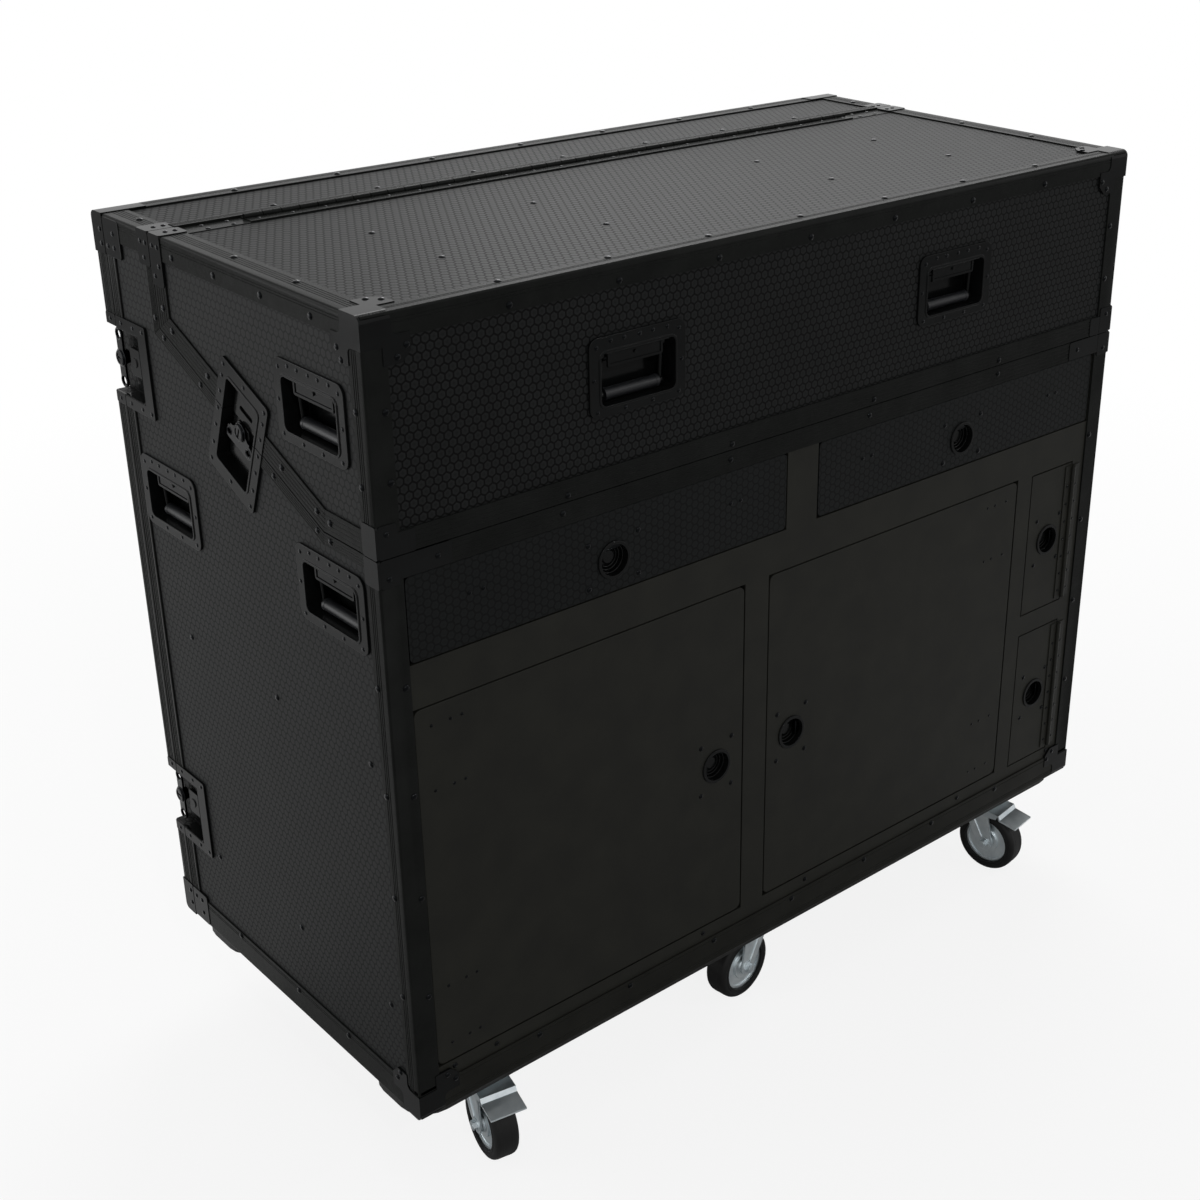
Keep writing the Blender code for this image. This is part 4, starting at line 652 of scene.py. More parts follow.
# Moulded rubber on the handle rollers: dark grey with a soft sheen
GRIP = Plain("moulded_grip_rubber", "#242527", "#1d1e20", gloss=0.36, grain=0.9, relief=0.012, shine=0.2,
             slot="grip_rubber")
# Vulcanised tyre: nearly black, dull, with a faint bloom
TYRE = Plain("vulcanised_tyre_rubber", "#161616", "#0f0f0f", gloss=0.55, grain=1.3, relief=0.04, shine=0.2,
             slot="tyre_rubber")
# Painted steel of the small doors' hinges: the doors' warm black, a little glossier
HINGE = Plain("painted_hinge_steel", "#252521", "#20201d", gloss=0.3, grain=1.2, relief=0.006, shine=0.12)
# Ply painted black: the grain still shows through the paint
PLY = Plain("black_painted_ply", "#191918", "#121211", gloss=0.55, spread=0.2, grain=2.0, relief=0.05, shine=0.3,
            stretch=(0.06, 1.0, 1.0))


# fasteners

class Head(Enum):
    """Kinds of fastener head."""

    RIVET = "rivet"
    SCREW = "screw"


@dataclass
class Fasteners:
    """Rivets and screws, gathered by body and made as one piece for each."""

    radius: float = 0.0041
    height: float = 0.0019
    spots: dict = field(default_factory=dict)

    def add(self, body: str, face: Face, places: Sequence[Pair], lift: float = 2.2,
            head: Head = Head.RIVET, scale: float = 1.0) -> None:
        """Notes where fasteners of one kind go.

        Args:
            body: the body that they are fixed to.
            face: the face that they stand on.
            places: their measures on that face, in millimetres.
            lift: how far their seat stands proud of the face, in millimetres.
            head: the kind of head.
            scale: their size against the usual one.
        """
        rows = self.spots.setdefault((body, head), [])
        rows += [face.frame(face.place(a, b, -lift)) @ Matrix.Scale(scale, 4) for a, b in places]

    def pattern(self, head: Head) -> Piece:
        """One fastener about the origin, its head towards the front."""
        dome = drum("head", (0, -self.height * 0.125, 0), self.radius, self.height * 0.25, sides=14)
        with editing(dome):
            pick(dome, "FACE", lambda face: face.normal.y < -0.99)
            for inset, rise in ((0.20, 0.40), (0.32, 0.25), (0.30, 0.10)):
                bpy.ops.mesh.inset(thickness=self.radius * inset, depth=0)
                bpy.ops.transform.translate(value=(0, -self.height * rise, 0))
        if head is Head.SCREW:
            with editing(dome):
                pick(dome, "FACE", lambda face: face.normal.y < -0.99)
                press(self.radius * 0.03, (0, self.height * 0.5, 0))
        activate(dome)
        bpy.ops.object.shade_smooth_by_angle(angle=math.radians(50))
        return dome

    def build(self) -> None:
        """Makes every fastener and joins those that move together."""
        for head in Head:
            dome = self.pattern(head)
            for (body, kind), frames in self.spots.items():
                if kind is head:
                    parts = [copied(dome, head.value, place) for place in frames]
                    name = f"{head.value}s_{body}"
                    fitted(joined(name, parts), name, body, RIVET)
            shelved(dome)


# edge extrusions

@dataclass
class AngleExtrusion:
    """An aluminium angle over an edge of the case, with a rounded nose and fine grooves along it.

    It is made along X, over a case that lies at positive Y and Z.
    """

    first: float
    second: float
    proud: float = 0.0021
    nose: float = 0.0050
    first_grooves: Sequence[float] = ()
    second_grooves: Sequence[float] = (0.0075, 0.0105, 0.0135)

    def build(self, name: str, length: float) -> Piece:
        """One length of the angle.

        Args:
            name: the object's name.
            length: how long it is.
        Returns:
            The angle, starting at the origin.
        """
        inner = 0.0005
        bar = block(name, (0, -self.proud, -self.proud), (length, inner, self.first))
        with editing(bar):
            cut((0, 0, inner), (0, 0, 1))
            pick(bar, "FACE", lambda face: face.normal.y > 0.9 and face.calc_center_median().z < inner)
            push((0, self.second - inner, 0))
        along = runs_along(0)
        round_edges(bar, self.nose, 5, lambda edge: along(edge) and
                    middle_of(edge).y < 1e-5 - self.proud and middle_of(edge).z < 1e-5 - self.proud)
        if self.first_grooves:
            scored(bar, 2, self.first_grooves, 0.0012, (0, -1, 0), 0.0006)
        if self.second_grooves:
            scored(bar, 1, self.second_grooves, 0.0012, (0, 0, -1), 0.0006)
        return soften(bar, 0.0003, 2, 50)

    def over(self, name: str, start: Vector, run: Vector, first: Vector, second: Vector, body: str) -> Piece:
        """An angle laid over one edge.

        Args:
            name: the piece's name.
            start: where the edge starts.
            run: the edge, from its start to its end.
            first: the way in from the face that carries the grooves of the first leg.
            second: the way in from the other face.
            body: the body that it is fixed to.
        Returns:
            The finished piece.
        """
        bar = self.build(name, run.length)
        place = Matrix([run.normalized(), first, second]).transposed().to_4x4()
        moved(bar, Matrix.Translation(start) @ place)
        return fitted(bar, name, body, EXTRUSION)


@dataclass
class SeamStrip:
    """A flat ribbed extrusion on one side of the parting line, mitred where the line bends."""

    width: float
    proud: float = 0.0021
    ribs: int = 4

    def build(self, name: str, face: Face, start: Pair, end: Pair, lidward: int,
              mitres: Sequence[tuple[Pair, Pair]] = ()) -> Piece:
        """One straight length.

        Args:
            name: the object's name.
            face: the face that it lies on.
            start: where its parting edge starts, in millimetres on the face.
            end: where that edge ends.
            lidward: 1 if it spreads to the left of its run, towards the lid, and -1 if away from it.
            mitres: pairs of point and outward direction on the face, where an end is cut.
        Returns:
            The strip in place.
        """
        origin = face.place(*start)
        run = face.place(*end) - origin
        along = run.normalized()
        inward = Vector(Matrix([Vector(axis) for axis in face.value])[1])
        across = along.cross(inward)
        upward = Vector((0, -along.z, along.y)) if face is not Face.FRONT else Vector((0, 0, 1))
        across = across if across.dot(upward) > 0 else -across
        spare = 0.03 if mitres else 0.0
        bar = block(name, (-spare, -self.proud, 0), (run.length + spare, SUNK, self.width))
        step = self.width / (self.ribs + 1)
        scored(bar, 2, [step * (k + 1) for k in range(self.ribs)], 0.0013, (0, -1, 0), 0.0007)
        place = Matrix([along, inward, across * lidward]).transposed().to_4x4()
        moved(bar, Matrix.Translation(origin) @ place)
        for point, direction in mitres:
            normal = face.place(point[0] + direction[0], point[1] + direction[1]) - face.place(*point)
            trimmed(bar, face.place(*point), normal)
        return bar


@dataclass
class CornerPlate:
    """A pressed steel corner with a rounded nose: three legs that wrap a corner of the case."""

    reach: float = 0.054
    drop: float = 0.052
    proud: float = 0.0031
    nose: float = 0.0085
    cut: float = 0.011
    band: float = 0.0215

    def build(self, name: str, rear: float = 0.0) -> Piece:
        """The corner about the origin, over a case that lies at positive X, Y and Z.

        Args:
            name: the object's name.
            rear: the depth of a rear corner, whose legs stop at the parting line.
        Returns:
            The corner.
        """
        p, depth = self.proud, rear or self.drop
        shell = block(name, (-p, -p, -p), (self.reach, depth, self.drop))
        reach = (self.reach, depth, self.drop)
        for axis in range(3):
            others = [k for k in range(3) if k != axis]
            along = runs_along(axis)
            round_edges(shell, self.nose, 6, lambda edge: along(edge) and all(
                middle_of(edge)[k] < 1e-4 - p for k in others))
        carve(shell, block("core", [0.0002] * 3, [0.2] * 3))
        size = self.cut * math.sqrt(2)
        for axis in range(3):
            others = [k for k in range(3) if k != axis]
            if rear and 1 in others:
                continue
            middle = [0.0 if k == axis else reach[k] for k in range(3)]
            tool = block("chamfer", [-size / 2] * 3, [size / 2] * 3)
            turn = Matrix.Rotation(math.pi / 4, 4, "XYZ"[axis])
            moved(tool, Matrix.Translation(middle) @ turn)
            carve(shell, tool)
        if not rear:
            for axis in range(3):
                carve(shell, self.waist(axis))
        return soften(shell, 0.0007, 2, 40)

    def waist(self, axis: int) -> Piece:
        """The cutter that narrows the plate along one edge of the case, so that a lobe is left on each face."""
        start = 0.0325
        low = [start if k == axis else -0.02 for k in range(3)]
        high = [0.09 if k == axis else self.band for k in range(3)]
        tool = block("waist", low, high)
        for k in range(3):
            if k != axis:
                along = runs_along(k)
                round_edges(tool, 0.007, 5, lambda e: along(e) and middle_of(e)[axis] < start + 1e-5 and
                            middle_of(e)[3 - axis - k] > 0)
        return tool

    def at_corner(self, name: str, corner: Vector, inward: tuple[int, int, int], body: str,
                  rear: float = 0.0) -> Piece:
        """A corner set on one corner of the case.

        Args:
            name: the piece's name.
            corner: the corner of the case.
            inward: the sign of the way in along each axis.
            body: the body that it is fixed to.
            rear: the depth of a rear corner.
        Returns:
            The finished piece.
        """
        shell = self.build(name, rear)
        moved(shell, Matrix.Translation(corner) @ Matrix.Diagonal((*inward, 1)))
        return fitted(shell, name, body, PRESSED_STEEL)


@dataclass
class EdgeTrim:
    """All the extrusions, corners and seam brackets of the case, with their rivets."""

    fasteners: Fasteners
    knee: Pair = (437.0, 870.0)
    foot: Pair = (101.5, 724.5)
    top: float = 979.0
    deep: float = 580.0
    split: float = 437.7
    gap: float = 0.6
    back: float = BACK_PARTING
    wide: float = 1220.0

    def angles(self) -> None:
        """The angles over the edges of the lid, the base and the rear cover."""
        x, y, z = Vector((1, 0, 0)), Vector((0, 1, 0)), Vector((0, 0, 1))
        top, back, wide = self.top, self.back, self.wide
        under, over = self.foot[1] - self.gap, self.foot[1] + self.gap
        brow = AngleExtrusion(0.0262, 0.021, first_grooves=(0.0065, 0.0100), second_grooves=(0.009, 0.0125))
        brow.over("lid_brow_extrusion", at(0, 0, top), x * wide / 1000, y, -z, "lid")
        sill = AngleExtrusion(0.0384, 0.010, first_grooves=(0.0065, 0.0095, 0.0335), second_grooves=())
        foot_bar = sill.over("base_sill_extrusion", at(0, 0, 0), x * wide / 1000, y, z, "case")
        # The sill's warmer, lighter tone is a painted reflection of the doors.
        foot_bar.data.materials[0] = material(SILL_PAINTED_DOOR_REFLECTION)
        crown = AngleExtrusion(0.0262, 0.030, first_grooves=(0.006, 0.009), second_grooves=(0.010, 0.014, 0.018, 0.022))
        post = AngleExtrusion(0.0272, 0.0232, second_grooves=(0.009, 0.0125, 0.016))
        skirt = AngleExtrusion(0.0384, 0.010, first_grooves=(0.030, 0.033), second_grooves=())
        stile = AngleExtrusion(0.0272, 0.0240, second_grooves=(0.008, 0.012, 0.016))
        for face, side, word in SIDES:
            edge = 0 if side < 0 else wide
            inward = x * -side
            for angle, name, start, run, first, second, body in (
                (crown, "lid_crown", (0, top), y * 0.4362, inward, -z, "lid"),
                (crown, "rear_crown", (self.split, top), y * (back - self.split) / 1000, inward, -z, "case"),
                (post, "lid_post", (0, over), z * (top - over) / 1000, y, inward, "lid"),
                (post, "base_post", (0, 0), z * under / 1000, y, inward, "case"),
                (skirt, "base_skirt", (0, 0), y * back / 1000, inward, z, "case"),
            ):
                angle.over(f"{name}_extrusion_{word}", at(edge, *start), run, first, second, body)
            upright = stile.over(f"cover_stile_extrusion_{word}", at(edge, self.deep, 0), z * top / 1000, -y, inward,
                                 "rear_cover")
            self.clear_of_latches(upright, face)
        rail = AngleExtrusion(0.0262, 0.0240, second_grooves=(0.008, 0.012))
        for level, height, second in (("top", top, -z), ("bottom", 0, z)):
            rail.over(f"cover_rail_extrusion_{level}", at(0, self.deep, height), x * wide / 1000, -y, second,
                      "rear_cover")

    def clear_of_latches(self, piece: Piece, face: Face) -> None:
        """Cuts the room of the edge latches out of an extrusion on a side."""
        front, back, half, outside, inside = 498.0, 592.0, 43, -10, 15.8
        for height in EDGE_LATCH_HEIGHTS:
            carve(piece, block("latch_room", face.place(front, height - half, outside),
                               face.place(back, height + half, inside)))

    def offset(self, distance: float) -> list[Pair]:
        """The two bends of the parting line, moved towards the lid by a distance in millimetres."""
        run = Vector((self.knee[0] - self.foot[0], self.knee[1] - self.foot[1])).normalized()
        normals = (Vector((0, 1)), Vector((-run.y, run.x)), Vector((-1, 0)))
        bends = []
        for point, before, after in ((self.foot, normals[0], normals[1]), (self.knee, normals[1], normals[2])):
            moved_by = distance * (before + after) / (1 + before.dot(after))
            bends.append((point[0] + moved_by.x, point[1] + moved_by.y))
        return bends

    def seam(self) -> None:
        """The ribbed strips along the parting line, on the sides and across the front."""
        for body, lidward, gap, width in (("lid", 1, 0.7, 26.5), ("case", -1, -0.7, 15.5)):
            near, far = self.offset(gap), self.offset(gap + lidward * width)
            cuts = []
            for a, b in zip(near, far):
                line = Vector((b[0] - a[0], b[1] - a[1])).normalized() * lidward
                cuts.append((a, (line.y * 10, -line.x * 10)))
            (foot, onward), (knee, upward) = cuts
            backward = (-onward[0], -onward[1])
            downward = (-upward[0], -upward[1])
            first, last = (23.0, near[0][1]), (near[1][0], 952.8)
            strip = SeamStrip(width / 1000)
            for face, side, word in SIDES:
                parts = [strip.build("run", face, start, end, lidward, mitres) for start, end, mitres in (
                    (first, near[0], [(first, (-10, 0)), (foot, onward)]),
                    (near[0], near[1], [(foot, backward), (knee, upward)]),
                    (near[1], last, [(knee, downward), (last, (0, 10))]),
                )]
                name = f"{body}_seam_strip_{word}"
                room = block("latch_room", (-0.0505, -0.01, -0.0755), (0.0505, 0.01, 0.0755))
                carve(parts[1], moved(room, face.frame(face.place(*SLANT_LATCH_CENTRE), SLOPE * -side)))
                fitted(soften(joined(name, parts), 0.0003, 1, 50), name, body, EXTRUSION)
        for body, low, high in (("lid", 725.0, 751.0), ("case", 697.4, 724.0)):
            strip = SeamStrip((high - low) / 1000)
            bar = strip.build(f"{body}_front_band", Face.FRONT, (27.2, low), (1192.8, low), 1)
            fitted(soften(bar, 0.0003, 1, 50), f"{body}_front_band", body, EXTRUSION)
        for face, side, word in SIDES:
            inner = rounded_block("rear_post", (0, 0, 0), (0.0195, 0.0024, 0.909), 0.001, axis=2)
            moved(inner, face.frame(face.place(535.0 if face is Face.RIGHT else BACK_PARTING, 38.4, -2.1)))
            scored(inner, 1, [face.place(y, 0).y for y in (541.0, 545.0, 549.0)], 0.0013, (side, 0, 0), 0.0006)
            fitted(soften(inner, 0.0003, 1, 50), f"base_rear_stile_{word}", "case", EXTRUSION)
            self.clear_of_latches(inner, face)

    def corners(self) -> None:
        """Corner plates at the eight corners, and brackets beside the parting lines."""
        corner, rear = CornerPlate(), CornerPlate(drop=0.046)
        for face, side, word in SIDES:
            edge = 0 if side < 0 else self.wide
            corner.at_corner(f"lid_corner_{word}", at(edge, 0, self.top), (-side, 1, -1), "lid")
            corner.at_corner(f"base_corner_{word}", at(edge, 0, 0), (-side, 1, 1), "case")
            for level, height, up in (("top", self.top, -1), ("bottom", 0, 1)):
                rear.at_corner(f"cover_corner_{level}_{word}", at(edge, self.deep, height), (-side, -1, up),
                               "rear_cover", 0.0242)
            self.rear_brackets(face, word)
            self.top_brackets(side, edge, word)
            self.seam_brackets(side, edge, word)

    def rear_brackets(self, face: Face, word: str) -> None:
        """The flat plates on a side, in front of the rear cover's corners."""
        start = 514.5 if face is Face.RIGHT else BACK_PARTING
        for level, low, high in (("top", 933.0, 979.0), ("bottom", 0.0, 46.0)):
            plate = rounded_block("bracket", (0, -0.0031, 0), (0.040, SUNK, (high - low) / 1000), 0.004)
            moved(plate, face.frame(face.place(start, low)))
            fitted(soften(plate, 0.0007), f"base_bracket_{level}_{word}", "case", PRESSED_STEEL)

    def top_brackets(self, side: int, edge: float, word: str) -> None:
        """The angles over a side's upper edge, on both sides of the parting line."""
        for body, start, end, foot in (("lid", 409.6, 436.6, 922.0), ("case", 438.2, 466.0, 941.0)):
            low, high = at(0, start, foot), at(0, end, self.top)
            leg = rounded_block("leg", (-0.0033, low.y, low.z), (0.0003, high.y, high.z + 0.0033), 0.004, axis=0)
            flap = rounded_block("flap", (-0.0033, low.y, high.z - 0.0003), (0.0330, high.y, high.z + 0.0033), 0.004,
                                 axis=2)
            sided(carve(leg, flap, operation="UNION"), side, Vector((at(edge, 0, 0).x, 0, 0)))
            fitted(soften(leg, 0.0008, 3), f"{body}_top_bracket_{word}", body, PRESSED_STEEL)

    def seam_brackets(self, side: int, edge: float, word: str) -> None:
        """The brackets round a front corner, above and below the parting line."""
        for body, upright, level, reach in (("lid", (0.725, 0.762), (0.725, 0.7504), 0.045),
                                            ("case", (0.692, 0.724), (0.698, 0.724), 0.088)):
            leg = rounded_block("leg", (0, -0.0032, upright[0]), (0.0235, SUNK, upright[1]), 0.003)
            arm = rounded_block("arm", (0, -0.0030, level[0]), (reach, SUNK, level[1]), 0.003)
            wing = rounded_block("wing", (-0.0031, -0.0031, upright[0]), (0.0003, 0.0235, upright[1]), 0.003, axis=0)
            carve(leg, arm, wing, operation="UNION")
            upward = runs_along(2)
            round_edges(leg, 0.0035, 4, lambda e: upward(e) and middle_of(e).x < -0.0028 and middle_of(e).y < -0.0028)
            sided(leg, side, at(edge, 0, 0))
            fitted(soften(leg, 0.0005), f"{body}_seam_bracket_{word}", body, PRESSED_STEEL)

    def rivets(self) -> None:
        """The rivets and screws along the extrusions and corners."""
        add = self.fasteners.add
        pitch = [175.0 + 145 * k for k in range(7)]
        add("lid", Face.FRONT, [(x, 960) for x in pitch])
        add("lid", Face.TOP, [(x, 17.0) for x in pitch], 2.1)
        add("lid", Face.TOP, [(x, y) for x in (191, 418, 788.5, 1015) for y in (141, 280)], 0.0)
        add("case", Face.FRONT, [(x, 31) for x in pitch])
        add("case", Face.FRONT, [(x, 50) for x in (112, 447, 637, 958)], 0.2, Head.SCREW, 0.85)
        add("case", Face.FRONT, [(x, z) for x in (20.8, 1199.2) for z in (168, 304, 437.5, 571.5)])
        add("lid", Face.FRONT, [(x, 732) for x in (243, 488, 732, 977)], 2.1, scale=0.9)
        add("case", Face.FRONT, [(x, 712.5) for x in (235, 486, 725, 977)], 2.1, scale=0.9)
        add("lid", Face.FRONT, [(x, z) for x in (20.8, 1199.2) for z in (805, 880)])
        back_rows = [127.0 + 145 * k for k in range(6)]
        add("case", Face.TOP, [(x, 471) for x in pitch], 0.0)
        add("rear_cover", Face.TOP, [(x, 566) for x in pitch], 2.1)
        add("rear_cover", Face.BACK, [(x, z) for x in pitch for z in (13, 966)])
        add("rear_cover", Face.BACK, [(x, z) for x in (13, 1207) for z in back_rows])
        add("rear_cover", Face.BACK, [(x, z) for x in (300, 610, 920) for z in (250, 490, 730)], 0.0)
        slope = [(421.5, 897), (405.6, 873.5), (112, 745), (87, 739), (180, 774), (330, 839)]
        base_slope = [(445, 881), (429, 860), (115, 722), (90, 717), (200, 758.5), (350, 824)]
        for face, side, _ in SIDES:
            add("lid", face, slope)
            add("case", face, base_slope, 2.1, scale=0.9)
            add("case", face, [(y, z) for y in (48, 251, 461) for z in (138.5, 464)], 0.0)
            add("case", face, [(17, z) for z in (168.7, 305, 437.7, 571)])
            add("case", face, [(422, 34), (273, 30), (154, 30)])
            add("lid", face, [(417, 968), (429, 968), (417, 946), (429, 933)], 3.3, scale=0.75)
            add("case", face, [(446, 968), (458, 968), (452, 950)], 3.3, scale=0.75)
            add("lid", face, [(17, z) for z in (800, 880)])
            add("lid", face, [(y, 962) for y in (90, 190, 290, 385)])
            add("lid", face, [(42, 942), (35, 930)], 3.1, scale=0.9)
            add("case", face, [(42, 37), (35, 48)], 3.1, scale=0.9)
            add("case", face, [(530, 945), (530, 962), (546, 945), (530, 14), (530, 34), (546, 34)], 3.1, scale=0.8)
            add("rear_cover", face, [(563, 945), (563, 962), (563, 14), (563, 34)], 3.1, scale=0.8)

            def spot(x: float) -> float:
                """A place from the outer end of the case, on this side."""
                return x if side < 0 else self.wide - x

            add("lid", Face.TOP, [(spot(18.5), y) for y in (148.5, 278)], 2.1)
            add("lid", Face.TOP, [(spot(36), 46), (spot(48), 36)], 3.1, scale=0.9)
            add("lid", Face.FRONT, [(spot(38), 933.8), (spot(49.3), 944.6)], 3.1, scale=0.9)
            add("case", Face.FRONT, [(spot(38), 45.2), (spot(49.3), 34.4)], 3.1, scale=0.9)
            add("case", Face.FRONT, [(spot(51), 51)], 0.2, Head.SCREW, 0.85)
            add("lid", Face.TOP, [(spot(12), 423), (spot(24), 423)], 3.3, scale=0.75)
            add("case", Face.TOP, [(spot(12), 452), (spot(24), 452)], 3.3, scale=0.75)
            add("case", Face.TOP, [(spot(18.5), 500)], 2.1)
            add("lid", Face.FRONT, [(spot(10), 752)], 3.1, scale=0.8)
            add("case", Face.FRONT, [(spot(10), 702), (spot(70), 711)], 3.1, scale=0.8)

    def build(self) -> None:
        """Makes the whole trim."""
        self.angles()
        self.seam()
        self.corners()
        self.rivets()


# recessed handles

@dataclass
class RecessedHandle:
    """A sprung handle in a pressed dish: plate, dish, spring plate, bail and rubber roller."""

    plate: Pair = (0.138, 0.092)
    dish: Pair = (0.1080, 0.0620)
    drop: float = 0.003
    depth: float = 0.0276
    proud: float = 0.0028
    pivot: Pair = (0.0105, 0.0205)
    roller: Pair = (0.0135, -0.0255)
    roller_radius: float = 0.0075
    roller_length: float = 0.078

    def plate_and_dish(self) -> Piece:
        """The pressed plate with its rolled rim and hollow dish, about the plate's centre."""
        half, tall = self.plate[0] / 2, self.plate[1] / 2
        wide, high = self.dish[0] / 2, self.dish[1] / 2
        plate = rounded_block("plate", (-half, -self.proud, -tall), (half, SUNK, tall), 0.012)
        rim = rounded_block("rim", (-wide - 0.0022, -self.proud - 0.0012, -self.drop - high - 0.0022),
                            (wide + 0.0022, 0.0002, high - self.drop + 0.0022), 0.010)
        tub = rounded_block("tub", (-wide, -self.proud, -self.drop - high), (wide, self.depth, high - self.drop), 0.008)
        carve(plate, rim, tub, operation="UNION")
        hollow = rounded_block("hollow", (-wide + 0.0008, -0.01, -self.drop - high + 0.0008),
                               (wide - 0.0008, self.depth - 0.001, high - self.drop - 0.0008), 0.007)
        carve(plate, hollow)
        back = rounded_block("back", (-wide + 0.012, self.depth - 0.0026, -self.drop - high + 0.006),
                             (wide - 0.012, self.depth - 0.0008, high - self.drop - 0.020), 0.004)
        cover = rounded_block("cover", (-0.0394, 0.0022, 0.0085), (0.0394, 0.0046, high - self.drop - 0.0006), 0.0030)
        with editing(cover):
            pick(cover, "FACE", lambda face: face.normal.y < -0.9)
            press(0.0030, (0, 0.0010, 0))
        curl = drum("curl", (0, 0.0046, 0.0093), 0.0017, 0.077, "X", 16)
        nib = drum("nib", (0, 0.0026, 0.0190), 0.0022, 0.0022, "Y", 16)
        lip = drum("lip", (0, -0.0012, high - self.drop - 0.0012), 0.0016, 2 * wide - 0.018, "X", 16)
        parts = [soften(part, 0.0005) for part in (back, cover, curl, nib, lip)]
        return joined("plate_and_dish", [soften(plate, 0.0007, 3, 40), *parts])

    def bail(self) -> Piece:
        """The two arms and the pin of the bail, about the plate's centre."""
        reach = self.roller_length / 2 + 0.0042
        (pin_y, pin_z), (end_y, end_z) = self.pivot, self.roller
        parts = [drum("pin", (0, pin_y, pin_z), 0.0029, 2 * reach + 0.002, "X", 16)]
        for side in (-1, 1):
            length = math.hypot(pin_y - end_y, pin_z - end_z)
            lean = math.atan2(end_y - pin_y, pin_z - end_z)
            arm = drum("arm", (side * reach, 0, length / 2), 0.0026, length, "Z", 16)
            moved(arm, Matrix.Translation((0, end_y, end_z)) @ Matrix.Rotation(lean, 4, "X"))
            ends = [drum("eye", (side * reach, y, z), 0.0050, 0.0050, "X", 20)
                    for y, z in (self.pivot, self.roller)]
            parts += [arm, *ends, drum("boss", (side * (reach + 0.0022), end_y, end_z), 0.0036, 0.0022, "X", 14)]
        return joined("bail", [soften(part, 0.0005) for part in parts])

    def grip(self) -> Piece:
        """The rubber roller with a collar at each end, about the plate's centre."""
        half = self.roller_length / 2
        roller = drum("roller", (0, *self.roller), self.roller_radius, self.roller_length, "X", 32)
        with editing(roller):
            for edge in (0.0045 - half, half - 0.0045):
                cut((edge, 0, 0), (1, 0, 0))
            pick(roller, "FACE", lambda face: abs(face.normal.x) < 0.5 and
                 abs(face.calc_center_median().x) < half - 0.005)
            bpy.ops.mesh.extrude_region_shrink_fatten(TRANSFORM_OT_shrink_fatten={"value": -0.0005})
        return soften(roller, 0.0005, 2, 30)

    def fit(self, name: str, face: Face, centre: Pair, body: str, node_name: str,
            fasteners: Fasteners, patterns: Sequence[Piece]) -> None:
        """Sets one handle in its place.

        Args:
            name: the handle's name.
            face: the face that it is let into.
            centre: the middle of its plate on that face, in millimetres.
            body: the body that carries its plate.
            node_name: the CAD grip that its bail and roller stand for.
            fasteners: where its rivets are noted.
            patterns: the plate, the bail and the roller to copy.
        """
        place = face.frame(face.place(*centre))
        plate, bail, roller = (copied(part, "part", place) for part in patterns)
        fitted(plate, f"{name}_plate", body, PRESSED_STEEL)
        fitted(bail, f"{name}_bail", node_name, PRESSED_STEEL)
        fitted(roller, f"{name}_roller", node_name, GRIP, [node_name])
        mirror = -1 if face is Face.LEFT else 1
        rows = [(a, 40.3) for a in (-39, -20, 2, 21, 42)] + [(s * 59, 35.5) for s in (-1, 1)]
        rows += [(-63, -1), (63, -1)] + [(a, -40.5) for a in (-19, 20)] + [(s * 58.5, -38.5) for s in (-1, 1)]
        fasteners.add(body, face, [(centre[0] + mirror * a, centre[1] + b) for a, b in rows], 2.7, scale=0.66)

    def build(self, fasteners: Fasteners) -> None:
        """Makes the eight handles of the case."""
        patterns = (self.plate_and_dish(), self.bail(), self.grip())
        spots = [(f"lid_front_{word}", Face.FRONT, (x, 856.0), "lid")
                 for word, x in (("left", 345.0), ("right", 875.0))]
        for face, _, word in SIDES:
            spots += [(f"lid_{word}", face, (107.0, 856.0), "lid"), (f"base_front_{word}", face, (98.0, 648.0), "case"),
                      (f"base_rear_{word}", face, (467.0, 646.0), "case")]
        for name, face, centre, body in spots:
            self.fit(f"handle_{name}", face, centre, body, f"grip_{name}", fasteners, patterns)
        shelved(*patterns)


# butterfly latches

